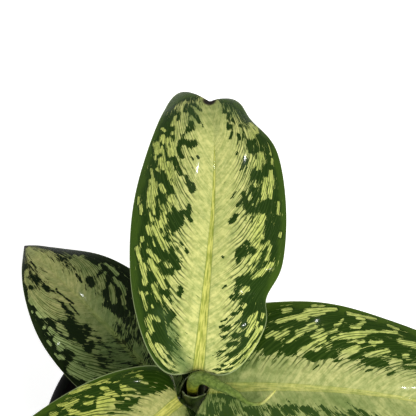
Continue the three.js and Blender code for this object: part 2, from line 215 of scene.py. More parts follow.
def drain_punches():
    """Round punches, one for each hole in the floor."""
    build = bmesh.new()
    for hole in range(DRAIN_HOLES):
        angle = 2 * math.pi * hole / DRAIN_HOLES
        spot = Vector((math.cos(angle), math.sin(angle), 0)) * DRAIN_RING_RADIUS * MM
        bmesh.ops.create_cone(
            build, cap_ends=True, segments=DRAIN_FACETS, radius1=DRAIN_RADIUS * MM, radius2=DRAIN_RADIUS * MM,
            depth=PUNCH_LENGTH * MM, matrix=Matrix.Translation(spot),
        )
    return build


def punch(piece, punches):
    """Cuts the punches out of a piece for good."""
    mesh = bpy.data.meshes.new("punches")
    punches.to_mesh(mesh)
    punches.free()
    cutter = bpy.data.objects.new("punches", mesh)
    bpy.context.scene.collection.objects.link(cutter)
    cut = piece.modifiers.new("punch", "BOOLEAN")
    cut.object = cutter
    cut.solver = "EXACT"
    cut.operation = "DIFFERENCE"
    pierced = bpy.data.meshes.new_from_object(piece.evaluated_get(bpy.context.evaluated_depsgraph_get()))
    piece.modifiers.clear()
    piece.data = pierced
    bpy.data.objects.remove(cutter)


grow_pot = join_to_scene("grow_pot", pot_shell(), [pot_plastic()], "black_plastic", "pot")
punch(grow_pot, drain_punches())
grow_pot.data.set_sharp_from_angle(angle=math.radians(POT_CREASE))

# ------------------------------------------------------------ potting mix
# Damp peat and coir with crumbs of bark and white perlite, filled to a finger's breadth below the rim and
# pressed down by watering. The cane comes out of its middle.

SOIL_TOP = 104
SOIL_DEPTH = 22
SOIL_RADIUS = 57.6
SOIL_TAPER = 2.6  # how much narrower the mix is at its underside
SOIL_RELIEF = 1.6
SOIL_GRAIN = 0.55
SOIL_CELLS = 150
CRUMBS = 520
CRUMB_MARGIN = 3
CANE_RADIUS = 8.2


def new_effect(name, inputs, outputs):
    """A shader node group, with the kind of each named input and output."""
    group = bpy.data.node_groups.new(name, "ShaderNodeTree")
    for way, sockets in (("INPUT", inputs), ("OUTPUT", outputs)):
        for key, kind in sockets.items():
            group.interface.new_socket(name=key, in_out=way, socket_type="NodeSocket" + kind)
    return group, group.nodes.new("NodeGroupInput").outputs, group.nodes.new("NodeGroupOutput").inputs


def earth_group():
    """Crumbly earth between two browns, in lumps with fine grit on them."""
    inputs = {"Place": "Vector", "Scale": "Float", "Dark": "Color", "Light": "Color"}
    group, given, result = new_effect("crumbly earth", inputs, {"Colour": "Color", "Lumps": "Float"})
    lumps = cloud(group, given["Place"], given["Scale"], 6, 0.7)
    grit_places = {"Vector": given["Place"], "Scale": times(group, given["Scale"], 3.5)}
    grit = add_node(group, "ShaderNodeTexVoronoi", grit_places).outputs["Distance"]
    share = ramp(group, sums(group, "ADD", lumps, times(group, grit, 0.3)), 0.42, 0.85)
    feed(group, result, {"Colour": blend(group, share, given["Dark"], given["Light"]), "Lumps": lumps})
    return group


def earthy_finish(name, dark, light, scale, rough):
    """Crumbly earth for one part of the mix."""
    material, tree, shader, place = new_finish(name)
    inputs = {"Place": place, "Scale": scale, "Dark": dark, "Light": light}
    earth = add_node(tree, "ShaderNodeGroup", inputs, node_tree=crumbly_earth).outputs
    feed(tree, shader.inputs, {
        "Base Color": earth["Colour"],
        "Roughness": ramp(tree, earth["Lumps"], 0.3, 0.7, rough, min(1, rough + 0.2)),
        "Normal": relief(tree, earth["Lumps"], 0.6, 0.6),
    })
    return material


def round_off(along, across):
    """Draws a square from -1 to 1 out to a disc."""
    return along * math.sqrt(1 - across * across / 2), across * math.sqrt(1 - along * along / 2)


def close_up(build):
    """Fills a shell's open ends and turns its faces outwards."""
    bmesh.ops.holes_fill(build, edges=[edge for edge in build.edges if edge.is_boundary], sides=0)
    bmesh.ops.recalc_face_normals(build, faces=build.faces)


def soil_height(x, y):
    """Height of the mix in millimetres: the broad lumps of the solid, with crumbs on them."""
    broad = math.sin(0.19 * x + 0.7) * math.cos(0.23 * y - 0.4)
    fine = math.sin(0.61 * x + 1.9) * math.sin(0.53 * y + 0.8)
    grain = noise.fractal(Vector((x, y, 3)) * 0.45, 0.8, 2.1, 4)
    return SOIL_TOP + SOIL_RELIEF * (0.6 * broad + 0.4 * fine) + SOIL_GRAIN * grain


def soil_surface():
    """The mix: a grid drawn out to a disc, raised into lumps, with a skirt down to a flat underside."""
    build = bmesh.new()
    bmesh.ops.create_grid(build, x_segments=SOIL_CELLS, y_segments=SOIL_CELLS, size=1)
    for corner in build.verts:
        x, y = round_off(corner.co.x, corner.co.y)
        x, y = x * SOIL_RADIUS, y * SOIL_RADIUS
        corner.co = Vector((x, y, soil_height(x, y))) * MM
    border = [edge for edge in build.edges if edge.is_boundary]
    skirt = bmesh.ops.extrude_edge_only(build, edges=border)["geom"]
    shrink = (SOIL_RADIUS - SOIL_TAPER) / SOIL_RADIUS
    for corner in skirt:
        if isinstance(corner, bmesh.types.BMVert):
            corner.co = Vector((corner.co.x * shrink, corner.co.y * shrink, (SOIL_TOP - SOIL_DEPTH) * MM))
    close_up(build)
    return build


def crumbs(draw, count, small, large, flat):
    """Loose bits pressed into the mix: low-sided lumps, turned and stretched at random."""
    build = bmesh.new()
    nearest, farthest = CANE_RADIUS + CRUMB_MARGIN, SOIL_RADIUS - CRUMB_MARGIN
    for _ in range(count):
        reach = math.sqrt(draw.uniform(nearest**2, farthest**2))
        angle = draw.uniform(0, 2 * math.pi)
        x, y = reach * math.cos(angle), reach * math.sin(angle)
        size = draw.uniform(small, large)
        spot = Matrix.Translation(Vector((x, y, soil_height(x, y) + 0.2 * size * flat)) * MM)
        turn = Matrix.Rotation(draw.uniform(0, 6.3), 4, "Z")
        tilt = Matrix.Rotation(draw.uniform(-0.5, 0.5), 4, "X")
        stretch = Matrix.Diagonal((size * MM, size * draw.uniform(0.4, 0.8) * MM, size * flat * MM, 1))
        place = spot @ (turn @ tilt) @ stretch
        made = bmesh.ops.create_icosphere(build, subdivisions=1, radius=1, matrix=place)
        for corner in made["verts"]:
            corner.co += Vector([draw.uniform(-0.16, 0.16) * size * MM for _ in range(3)])
    return build


crumbly_earth = earth_group()
mix_finish = earthy_finish("potting mix", (0.012, 0.007, 0.004), (0.07, 0.042, 0.024), scale=420, rough=0.75)
bark_finish = earthy_finish("bark crumbs", (0.03, 0.015, 0.007), (0.16, 0.085, 0.042), scale=900, rough=0.65)
perlite_finish = earthy_finish("perlite", (0.42, 0.4, 0.35), (0.7, 0.68, 0.62), scale=1200, rough=0.8)
join_to_scene("potting_mix", soil_surface(), [mix_finish], "potting_mix", "soil")
draw = random.Random(11)
bark_bits = crumbs(draw, CRUMBS, small=0.9, large=3.6, flat=0.45)
perlite_bits = crumbs(draw, CRUMBS // 4, small=0.7, large=1.7, flat=0.8)
join_to_scene("bark_crumbs", bark_bits, [bark_finish], "potting_mix").data.shade_flat()
join_to_scene("perlite_crumbs", perlite_bits, [perlite_finish], "potting_mix").data.shade_flat()

# ------------------------------------------------------------ leaf blades
# Five open leaves, each one firm glossy blade folded lightly along its midrib. Veins run out of the midrib
# and bend towards the tip, and the cream and green fields of the blade follow them. Each blade grows on its
# stalk.

BLADE_THICKNESS = 0.8
BLADE_CELLS_ALONG = 260
BLADE_CELLS_ACROSS = 130
MIDRIB_STEPS = 96
VEIN_LEAN = 0.35  # how far a vein runs on for each millimetre out from the midrib, at the base of the blade
VEIN_LEAN_GROWTH = 1.0  # how much that grows up to the tip
VEIN_BEND = 0.84  # how nearly the veins run along the margin when they reach it
STRIP_WIDTH = 2.1
STRIP_WAVER = 2.4  # how far the strips waver, in strips
FIRST_STRIP = 400  # keeps the strips' numbers above 0
RIB_HALF_WIDTH = 2.1
SWELL_RADIAN = 1.15  # the blade's skin swells in waves that run on by a radian in this width
TIP_SHADE = 1.6  # how much less cream the blade is round its tip
TIP_FADE = (1.5, 9)  # distances from the tip between which that ends
TIP_MIDRIB = (1, 6)  # distances from the midrib between which it begins
RIB_END = (0.72, 0.95)  # shares of the blade's length between which the rib sinks into it
MARGIN_SCALE = 40  # the margin's mask climbs to 1 over one such share of the blade
SCORCH = (2.2, 3.6)  # distances from the tip between which its brown ends
HALF_OFFSET = 0.5  # keeps the pattern of a blade's right half apart from the left half's

# A blade as the CAD has it: lengths in millimetres, angles in degrees. It sets out from its base at yaw and
# pitch, and then turns and arches. A dent has its side, place, spread, depth and droop.
PLAIN_LEAF = dict(hook=0, curl_from=0.85, lobe_drop=2, notch_left=0, notch_right=0, dents=())
LEAVES = {
    "leaf_back": PLAIN_LEAF | dict(
        base=(0, 9.3, 190), length=119.5, left=31.8, right=29.3, yaw=84.5, turn=0, hook=14, pitch=9, arch=-22,
        curl=-14, curl_from=0.8, fold=12, droop=0.3, roll=0, skew=0.95, base_round=0.32, tip_round=0.31,
        lobe_left=3.8, lobe_right=2, lobe_drop=1.5, notch_left=13, notch_right=3, wave=1, waves=2.2,
        phase=0.1, dents=((-1, 0.27, 0.06, 3.6, 3), (-1, 0.9, 0.075, 4.6, 1)),
    ),
    "leaf_right": PLAIN_LEAF | dict(
        base=(4, 4.4, 182.3), length=139.9, left=36.5, right=35, yaw=1.4, turn=-14, pitch=7, arch=-33,
        curl=-15, fold=10, droop=0.27, roll=1.5, skew=0.46, base_round=0.33, tip_round=0.92, lobe_left=1.5,
        lobe_right=7.5, wave=1.1, waves=3, phase=0.3,
    ),
    "leaf_front_left": PLAIN_LEAF | dict(
        base=(-7.5, 1.7, 176), length=127.9, left=34, right=34.2, yaw=223.8, turn=-3.2, pitch=6, arch=-34,
        curl=-15, fold=10, droop=0.26, roll=-5.8, skew=0.8, base_round=0.38, tip_round=0.9, lobe_left=4.2,
        lobe_right=8, wave=1.1, waves=3, phase=0.6,
    ),
    "leaf_back_left": PLAIN_LEAF | dict(
        base=(-10, 11, 152), length=109.8, left=26, right=27.5, yaw=130.5, turn=-3, pitch=-6, arch=-25,
        curl=-10, fold=12, droop=0.26, roll=0, skew=0.66, base_round=0.53, tip_round=0.9, lobe_left=3,
        lobe_right=3, wave=0.9, waves=2.5, phase=0.2,
    ),
    "leaf_front": PLAIN_LEAF | dict(
        base=(2, -9, 146), length=111.9, left=28, right=27, yaw=270, turn=5, pitch=-2, arch=-36, curl=-12,
        fold=11, droop=0.26, roll=2, skew=0.7, base_round=0.5, tip_round=0.9, lobe_left=3, lobe_right=3,
        wave=0.9, waves=2.5, phase=0.5,
    ),
}

# How cream a blade is between its midrib, at 0, and its margin, at 1. The pattern's noise is laid over it,
# and what comes out above a half is cream.
FEATHERED = [(0, 1.8), (0.24, 1.65), (0.4, 1.02), (0.58, 0.75), (0.7, 0.15), (0.8, -0.2), (1, -0.6)]
BANDED = [(0, 1.8), (0.2, 1.7), (0.32, 0.9), (0.42, 0.0), (0.7, -0.1), (0.85, -0.25), (1, -0.6)]
CRUMBLED = [(0, 1.7), (0.22, 1.15), (0.36, 0.72), (0.55, 0.5), (0.66, 0.15), (0.8, -0.2), (1, -0.6)]

# Marks that stand out on each blade, each drawn as one stroke: from a place to a place, and half as wide as
# the fifth number in millimetres. A place is in thousandths of the blade's length and of its full half width,
# to the left of the midrib and, below 0, to its right. Where a sixth number follows, it is the stroke's own
# tone. Most strokes are the blade's own pattern; the few noted where they stand are painted shade.
DARK_TONE = -0.3
PALE_TONE = 1.4
GREY_TONE = 1
STROKES = {
    ("leaf_back", "dark"): [
        (84, 450, 139, 490, 3.4), (150, 420, 165, 400, 1.4), (30, 360, 70, 450, 1.2),
        (-10, -200, 20, -400, 1.6), (20, -400, 70, -620, 2.0), (70, -620, 170, -770, 2.4),
        (180, 600, 205, 570, 2.2), (245, 490, 280, 520, 1.2), (320, 560, 360, 580, 2.3),
        (370, 620, 400, 660, 2.4), (370, 550, 390, 520, 1.8), (315, 440, 325, 500, 1.2),
        (335, 410, 370, 450, 1.3), (385, 470, 395, 500, 1.1), (330, 350, 370, 410, 0.7),
        (235, 310, 245, 330, 0.7), (250, 300, 262, 310, 0.9), (425, 520, 433, 550, 0.8),
        (390, 270, 400, 290, 0.9), (412, 330, 420, 360, 0.6), (475, 480, 515, 470, 2.7),
        (490, 390, 530, 370, 1.2), (455, 600, 465, 630, 0.6), (500, 250, 530, 330, 0.9),
        (530, 280, 555, 300, 0.9), (505, 710, 512, 720, 0.7), (580, 640, 610, 670, 1.9),
        (610, 530, 650, 550, 1.7), (640, 620, 690, 700, 2.0), (675, 450, 710, 510, 1.5),
        (725, 490, 750, 530, 1.1), (730, 580, 760, 600, 1.0), (760, 610, 815, 640, 0.9),
        (840, 600, 900, 550, 2.6), (745, 400, 785, 470, 0.7), (790, 420, 840, 400, 1.3),
        (800, 400, 800, 260, 2.0), (745, 400, 760, 370, 1.0), (855, 360, 920, 340, 1.3),
        (860, 280, 900, 300, 1.6), (700, 270, 715, 310, 0.5), (735, 270, 745, 300, 0.6),
        (740, 200, 750, 220, 0.6), (610, 280, 640, 320, 1.0), (650, 330, 670, 340, 0.8),
        (620, 230, 640, 260, 0.8), (900, 450, 940, 440, 1.4), (890, 170, 920, 200, 0.8),
        (870, 130, 880, 130, 0.5), (70, -550, 100, -620, 1.3), (45, -420, 65, -520, 0.6),
        (80, -310, 90, -350, 0.8), (110, -370, 125, -400, 1.1), (140, -400, 145, -430, 0.6),
        (165, -540, 200, -550, 2.0), (210, -480, 250, -500, 1.0), (220, -670, 300, -670, 4.2),
        (250, -350, 260, -500, 1.2), (270, -400, 280, -430, 1.0), (305, -420, 320, -480, 1.3),
        (310, -560, 330, -600, 1.2), (365, -710, 390, -730, 1.3), (375, -370, 400, -390, 1.3),
        (405, -420, 415, -560, 1.5), (420, -470, 435, -500, 1.2), (275, -220, 285, -250, 0.6),
        (380, -170, 382, -180, 0.6), (565, -500, 625, -560, 2.3), (570, -620, 590, -800, 2.6),
        (565, -330, 600, -420, 0.9), (610, -400, 620, -500, 1.2), (590, -230, 615, -300, 0.5),
        (505, -250, 530, -310, 0.9), (670, -550, 690, -560, 2.0), (685, -630, 700, -720, 1.4),
        (715, -410, 735, -430, 1.4), (695, -350, 705, -390, 0.6), (775, -500, 810, -520, 1.9),
        (770, -600, 800, -670, 2.6), (815, -370, 830, -340, 1.0), (820, -405, 870, -390, 0.6),
        (865, -360, 868, -370, 0.7), (755, -300, 760, -310, 0.6), (815, -220, 840, -250, 0.5),
        (860, -220, 890, -260, 1.2), (900, -210, 925, -240, 0.8), (930, -170, 960, -200, 0.9),
        (480, -800, 520, -820, 2.6), (930, 220, 960, 270, 1.3), (950, 140, 985, 200, 0.9),
        (910, 400, 950, 340, 1.0), (960, 320, 985, 300, 1.2), (890, 270, 905, 310, 0.7),
        (950, -280, 985, -300, 1.2), (30, -300, 40, -360, 0.5), (55, -360, 65, -420, 0.5),
        (20, -420, 40, -500, 0.9), (60, -300, 170, -350, 3.0, 0.75), (165, -240, 175, -300, 0.5),
        (145, -230, 150, -280, 0.5), (135, -300, 150, -360, 0.7), (115, -250, 120, -310, 0.4),
        (90, -360, 100, -460, 0.8), (65, -260, 70, -330, 0.4), (120, -450, 135, -550, 0.7),
        (40, -520, 60, -620, 0.7), (15, -300, 20, -400, 0.4), (190, -370, 200, -440, 0.8),
        (160, -400, 170, -460, 0.5), (10, -520, 30, -660, 0.6),
    ],
    ("leaf_back", "pale"): [
        (0, 130, 50, 220, 2.6, 1.1), (50, 250, 130, 340, 1.8, 1.0), (105, 670, 68, 600, 0.5),
        (68, 600, 39, 520, 0.55), (39, 520, 15, 430, 0.5), (15, 430, -1, 330, 0.45),
        (-1, 330, -13, 200, 0.4), (70, 530, 37, 430, 0.7), (37, 430, 14, 335, 0.6),
        (14, 335, -6, 200, 0.45), (72, 500, 47, 395, 0.6), (6, -90, -1, -250, 0.4),
        (-1, -250, 9, -420, 0.4), (9, -420, 36, -570, 0.4), (36, -570, 77, -675, 0.45),
        (77, -675, 128, -768, 0.45), (128, -768, 160, -810, 0.4), (20, -150, 15, -310, 0.45),
        (15, -310, 27, -460, 0.45), (27, -460, 61, -587, 0.5), (61, -587, 106, -707, 0.5),
        (28, -240, 31, -370, 0.5), (31, -370, 56, -496, 0.5), (56, -496, 89, -600, 0.5),
        (89, -600, 133, -696, 0.5), (133, -696, 178, -715, 0.4), (115, 610, 155, 660, 1.0),
        (152, 550, 165, 650, 0.9), (185, 700, 242, 774, 0.65), (238, 720, 243, 725, 0.5),
        (276, 745, 340, 820, 0.9), (340, 820, 400, 900, 0.75), (355, 620, 388, 750, 0.85),
        (263, 504, 353, 721, 0.85), (230, 580, 268, 650, 0.7), (195, 630, 200, 635, 0.6),
        (425, 840, 435, 850, 0.6), (405, 680, 418, 700, 0.4), (445, 745, 470, 790, 0.85),
        (400, 564, 468, 705, 0.85), (335, 490, 345, 520, 0.8), (475, 630, 490, 645, 0.6),
        (500, 740, 520, 760, 0.8), (530, 740, 600, 770, 1.3, 1.1), (560, 780, 660, 805, 0.8, 1.1),
        (600, 720, 660, 770, 0.9), (660, 765, 710, 790, 0.5), (525, 875, 555, 890, 0.7),
        (565, 930, 590, 930, 0.5), (610, 620, 635, 660, 0.9), (635, 530, 655, 560, 0.4),
        (660, 560, 690, 600, 0.5), (660, 460, 725, 580, 0.9), (685, 670, 705, 710, 0.6),
        (705, 650, 745, 670, 1.2), (740, 620, 800, 660, 0.6), (750, 745, 765, 745, 0.4),
        (780, 710, 820, 730, 1.3), (820, 620, 845, 650, 1.2), (760, 540, 825, 560, 1.4, 1.0),
        (870, 610, 885, 640, 0.6), (850, 520, 855, 520, 0.7), (890, 510, 930, 460, 0.7),
        (830, 450, 895, 445, 1.1), (755, 350, 785, 380, 0.9), (850, 390, 940, 360, 0.8),
        (880, 330, 930, 315, 0.4), (832, 330, 842, 250, 1.2), (905, 270, 912, 270, 0.8),
        (100, -620, 165, -770, 0.6), (130, -600, 200, -690, 0.8), (178, -600, 210, -690, 0.7),
        (200, -770, 210, -775, 0.5), (280, -470, 285, -540, 0.8), (222, -510, 230, -540, 0.5),
        (320, -600, 345, -700, 0.8, 0.8), (335, -700, 375, -830, 0.75, 0.85), (390, -770, 435, -800, 0.7),
        (420, -690, 450, -770, 0.6), (430, -600, 530, -670, 1.4), (475, -920, 490, -925, 0.6),
        (573, -530, 575, -535, 0.5), (592, -480, 600, -500, 0.5), (605, -680, 670, -690, 1.1, 1.1),
        (610, -760, 700, -780, 0.8, 1.1), (715, -580, 750, -620, 1.9, 1.0), (843, -360, 850, -365, 0.9),
        (877, -250, 879, -255, 0.5), (820, -520, 880, -530, 1.1, 1.0), (840, -590, 870, -600, 0.7),
        (555, -875, 595, -880, 0.6), (725, -780, 745, -780, 0.4), (760, -765, 763, -765, 0.5),
    ],
    ("leaf_back", "grey"): [
        (0, 160, 50, 280, 3.0), (50, 290, 130, 390, 2.2), (165, 470, 175, 530, 2.2),
        (900, 0, 1000, 0, 5.0, 0.4), (900, 280, 970, 200, 3.0, 0.7), (930, -300, 970, -150, 3.0, 0.7),
        (20, -140, 100, -300, 3.0, 0.2),
    ],
    ("leaf_right", "dark"): [
        # Painted shade: the strokes from (0, -30) and (0, -50) are the rolled leaf's shadow, and those from
        # (0, -80), (0, -200), (50, -120) and (0, 300) darken the base beside the crown and under the back
        # leaf.
        (0, -30, 20, -50, 1.1), (0, -80, 35, -100, 1.6, 0.1), (0, -200, 40, -240, 3.0, 0.15),
        (50, -120, 80, -200, 2.0, 0.5), (240, 400, 340, 370, 2.0, 0.35), (420, 370, 500, 280, 1.8, 0.4),
        (80, -270, 450, -270, 2.6, 0.55), (0, 300, 100, 360, 2.0, 0.3), (270, 360, 330, 400, 1.5),
        (285, 300, 300, 320, 0.8), (310, 330, 330, 360, 0.8), (190, 330, 195, 360, 0.7),
        (215, 350, 220, 380, 0.7), (285, 200, 300, 250, 0.4), (430, 350, 480, 330, 1.3),
        (488, 280, 495, 300, 0.6), (490, 220, 497, 240, 0.4), (430, 230, 445, 260, 0.4),
        (160, 460, 210, 460, 1.6), (230, 450, 250, 500, 1.6), (210, -220, 235, -320, 0.45),
        (240, -240, 250, -320, 0.4), (260, -230, 290, -320, 0.5), (310, -200, 340, -320, 0.45),
        (270, -220, 300, -310, 0.3), (190, -200, 220, -300, 0.3), (160, -200, 180, -270, 0.4),
        (215, -140, 220, -170, 0.4), (380, -130, 420, -220, 0.4), (55, -240, 65, -300, 0.5),
        (100, -250, 120, -310, 0.5), (0, -50, 85, -130, 0.6), (180, -300, 200, -420, 0.7),
        (200, -340, 230, -450, 0.8), (130, -300, 150, -400, 0.8), (100, -360, 110, -460, 0.9),
        (300, -340, 330, -440, 0.8), (350, -200, 380, -300, 0.4), (420, -200, 450, -280, 0.4),
        (390, -220, 420, -320, 0.4), (60, -380, 70, -500, 1.2), (270, -420, 300, -500, 0.8),
    ],
    ("leaf_right", "pale"): [
        (190, 740, 270, 850, 0.9), (260, 855, 340, 915, 0.9), (280, 820, 310, 850, 0.6),
        (225, 800, 240, 810, 0.6), (205, 875, 220, 890, 0.9), (280, 940, 290, 945, 0.5),
        (300, 945, 310, 950, 0.5), (245, 780, 265, 790, 1.1), (160, 570, 180, 600, 1.1),
        (192, 550, 213, 600, 1.2), (245, 600, 280, 690, 1.2), (215, 500, 240, 570, 0.6),
        (280, 570, 308, 660, 0.7), (250, 370, 310, 580, 0.9), (310, 590, 343, 670, 0.7),
        (300, 500, 315, 530, 0.6), (335, 560, 420, 640, 0.7), (360, 610, 450, 710, 0.75),
        (440, 710, 510, 735, 0.5), (375, 880, 450, 865, 0.7), (400, 835, 420, 835, 0.4),
        (385, 720, 405, 730, 0.7), (403, 750, 420, 800, 0.8), (338, 715, 355, 745, 0.5),
        (358, 790, 362, 800, 0.4), (485, 810, 515, 785, 0.4), (440, 580, 447, 550, 0.7),
        (450, 570, 470, 600, 0.5), (405, 540, 420, 570, 0.4), (360, 370, 403, 480, 1.3),
        (430, 420, 483, 490, 0.9), (520, 640, 570, 600, 1.4), (530, 460, 540, 470, 0.8),
        (500, 360, 520, 390, 1.0),
    ],
    ("leaf_right", "grey"): [
        (120, 140, 200, 120, 5.0, 0.45), (0, 220, 90, 200, 7.0, 1.0), (0, 0, 100, 0, 4.0, 1.0),
        (0, -300, 400, -340, 9.0, 0.6), (0, -160, 120, -180, 4.0, 1.0), (250, -140, 450, -130, 2.6, 0.6),
        (355, -70, 365, -110, 2.2, 0.8), (440, -80, 460, -50, 1.4, 0.6), (550, -200, 800, -200, 4.0, 0.6),
        (100, 120, 200, 250, 1.6, 0.4), (340, -100, 390, -170, 2.2, 0.9), (400, -130, 440, -150, 1.4, 0.7),
        (500, -100, 560, -200, 2.0, 0.6), (200, -120, 300, -120, 1.8, 0.7),
    ],
    ("leaf_front_left", "dark"): [
        (60, -470, 80, -550, 3.2), (120, -500, 130, -600, 1.6), (70, -330, 80, -380, 0.5),
        (100, -310, 108, -340, 0.6), (138, -300, 145, -350, 0.5), (30, -270, 45, -330, 0.5),
        (20, -300, 30, -400, 0.7), (170, -360, 180, -410, 0.3), (200, -600, 230, -700, 2.4),
    ],
    ("leaf_front_left", "pale"): [
        (35, -400, 47, -460, 0.6), (35, -480, 40, -530, 0.5), (75, -360, 85, -450, 0.6),
        (90, -360, 105, -440, 0.7), (90, -470, 105, -520, 0.8), (97, -530, 102, -560, 0.6),
        (113, -390, 116, -470, 0.5), (131, -500, 137, -570, 0.7), (136, -580, 147, -605, 0.8),
        (138, -640, 148, -690, 0.7), (135, -400, 155, -500, 0.6), (150, -500, 178, -600, 0.9),
        (165, -450, 190, -570, 1.0), (160, -360, 200, -530, 0.9), (200, -450, 235, -570, 1.1),
        (235, -580, 255, -640, 0.7), (133, -750, 117, -683, 0.4), (172, -794, 227, -899, 0.55),
        (187, -684, 200, -746, 0.45), (230, -775, 258, -810, 0.7), (141, -754, 158, -800, 0.5),
        (162, -810, 201, -898, 0.45), (203, -650, 215, -680, 0.7), (252, -660, 270, -700, 1.0),
        (255, -710, 268, -760, 0.7), (250, -780, 265, -800, 0.8), (258, -830, 280, -880, 0.6),
        (305, -830, 315, -850, 1.0),
    ],
    ("leaf_front_left", "grey"): [
        (0, 250, 300, 400, 5.0, 0.8), (400, -200, 600, -200, 3.0, 0.6),
    ],
    ("leaf_back_left", "dark"): [
        # Painted shade: the first two strokes darken the base and the right half, where the back leaf shades
        # this one.
        (0, 50, 270, -20, 9.0, 0.62), (200, -300, 340, -300, 6.0, 0.5), (680, -560, 570, -640, 2.2),
        (570, -640, 480, -600, 3.2), (480, -600, 390, -480, 3.6), (400, -270, 480, -250, 1.6),
        (620, -330, 590, -280, 1.3), (540, -430, 470, -270, 1.0), (440, -360, 360, -300, 1.8),
        (300, 280, 420, 220, 2.2, 0.6), (660, 180, 570, 130, 0.4), (440, 410, 515, 420, 3.2),
        (430, 260, 450, 250, 1.0), (355, 470, 365, 480, 0.9), (365, 380, 380, 360, 0.8),
        (400, 450, 420, 480, 0.8), (450, 550, 460, 560, 1.0), (400, 760, 450, 720, 2.2),
        (550, 570, 590, 570, 1.5), (480, 690, 510, 700, 0.8), (520, 270, 590, 290, 0.7),
        (510, 200, 580, 180, 0.4), (690, 290, 730, 280, 0.8), (710, 240, 715, 240, 0.5),
        (660, 180, 680, 165, 0.4), (600, 250, 640, 300, 0.4), (770, 310, 810, 340, 1.6),
        (770, 260, 800, 250, 0.8), (735, 420, 770, 440, 0.8), (830, 150, 880, 140, 0.4),
        (430, -250, 480, -220, 1.0), (420, -330, 470, -450, 1.6), (470, -500, 550, -600, 2.6),
        (490, -330, 530, -370, 1.3), (525, -450, 540, -470, 1.3), (600, -310, 640, -360, 1.1),
        (690, -350, 730, -360, 1.0), (600, -450, 610, -500, 0.9), (630, -190, 680, -220, 0.4),
        (790, -250, 850, -300, 1.3), (650, -650, 750, -500, 1.2),
    ],
    ("leaf_back_left", "pale"): [
        (280, 750, 340, 850, 2.6), (260, 600, 360, 680, 1.5), (380, 630, 500, 680, 0.9),
        (300, 550, 400, 600, 1.2), (440, 780, 490, 740, 1.0), (400, 855, 420, 860, 0.6),
        (410, 900, 440, 900, 0.5), (485, 840, 510, 840, 0.5), (567, 730, 573, 730, 0.6),
        (520, 690, 550, 680, 0.7), (470, 560, 530, 540, 1.1), (620, 640, 650, 650, 0.6),
        (667, 690, 673, 690, 0.5), (700, 600, 720, 590, 0.7), (560, 450, 720, 450, 2.4),
        (610, 570, 710, 550, 1.4), (570, 380, 680, 350, 1.4), (745, 500, 755, 500, 0.6),
        (785, 430, 810, 420, 0.8), (760, 380, 820, 400, 0.5), (830, 350, 850, 300, 0.9),
        (518, -466, 478, -360, 1.0), (595, -475, 542, -374, 0.9), (532, -603, 474, -563, 0.6),
        (609, -659, 562, -683, 0.5), (750, -323, 629, -391, 1.0), (729, -435, 642, -525, 0.6),
        (736, 500, 645, 470, 1.4), (645, 470, 535, 410, 1.2), (460, -330, 530, -470, 1.0),
        (430, -430, 460, -490, 0.8), (460, -540, 520, -610, 0.6), (510, -560, 560, -600, 0.5),
        (570, -420, 590, -470, 1.1), (590, -520, 600, -560, 0.6), (630, -550, 650, -580, 0.6),
        (560, -660, 600, -690, 0.6), (600, -680, 640, -660, 0.4), (630, -450, 700, -470, 1.3),
        (720, -450, 740, -480, 1.0), (700, -400, 770, -420, 0.6),
    ],
    ("leaf_back_left", "grey"): [
        # Painted shade: the first two strokes grey the base and the right half, where the back leaf shades
        # this one.
        (0, 100, 360, 100, 15.0), (360, -200, 550, -350, 7.0, 0.8), (500, -450, 800, -450, 5.0, 0.5),
        (400, 300, 520, 350, 5.0, 0.5), (930, 0, 1000, 0, 3.0, 0.25),
    ],
    ("leaf_front", "dark"): [],
    ("leaf_front", "pale"): [],
    ("leaf_front", "grey"): [],
}
for strokes in STROKES.values():
    strokes[:] = [(*[place / 1000 for place in stroke[:4]], *stroke[4:]) for stroke in strokes]

# Stretches of the margins that the photograph doesn't show: from and to a share of the blade's length, on the
# left half (1) or the right one (-1).
UNSEEN = {
    "leaf_right": [(0.58, 0.92, 1), (0.08, 0.92, -1)],
    "leaf_front_left": [(0.05, 0.92, 1), (0.33, 0.92, -1)],
    "leaf_front": [(0.05, 0.92, 1), (0.05, 0.92, -1)],
}
MARKS_PER_LENGTH = 62
PAINT_ROW = 2  # a blade's corners are looked up in rows this far apart
STROKE_CORE = 0.1  # how far out a stroke is full, in shares of its half width
STROKE_FADE = 1.9  # where it has faded out


def scatter_marks(draw, first, last, side):
    """Short pale strokes along the veins of an unseen margin, as dense as on the leaves that show."""
    marks = []
    for _ in range(round(MARKS_PER_LENGTH * (last - first))):
        s, v = draw.uniform(first, last), draw.uniform(0.46, 0.84)
        run = draw.uniform(0.01, 0.06)
        marks.append((s, side * v, s + run, side * min(0.9, v + 1.1 * run), draw.uniform(0.5, 1.1)))
    return marks


draw = random.Random(29)
for name, stretches in UNSEEN.items():
    for stretch in stretches:
        STROKES[name, "pale"] += scatter_marks(draw, *stretch)


def soft_step(value, low, high):
    """0 below low, 1 above high, smooth between."""
    share = min(1, max(0, (value - low) / (high - low)))
    return share * share * (3 - 2 * share)


def follow(points, place):
    """The value at a place between (place, value) pairs."""
    for (low, first), (high, second) in zip(points, points[1:]):
        if place <= high:
            return first + (second - first) * (place - low) / (high - low)
    return points[-1][1]


def of_half(leaf, measure, side):
    """A measure of the blade's left half or, below 0, of its right one."""
    return leaf[measure + ("left" if side > 0 else "right")]


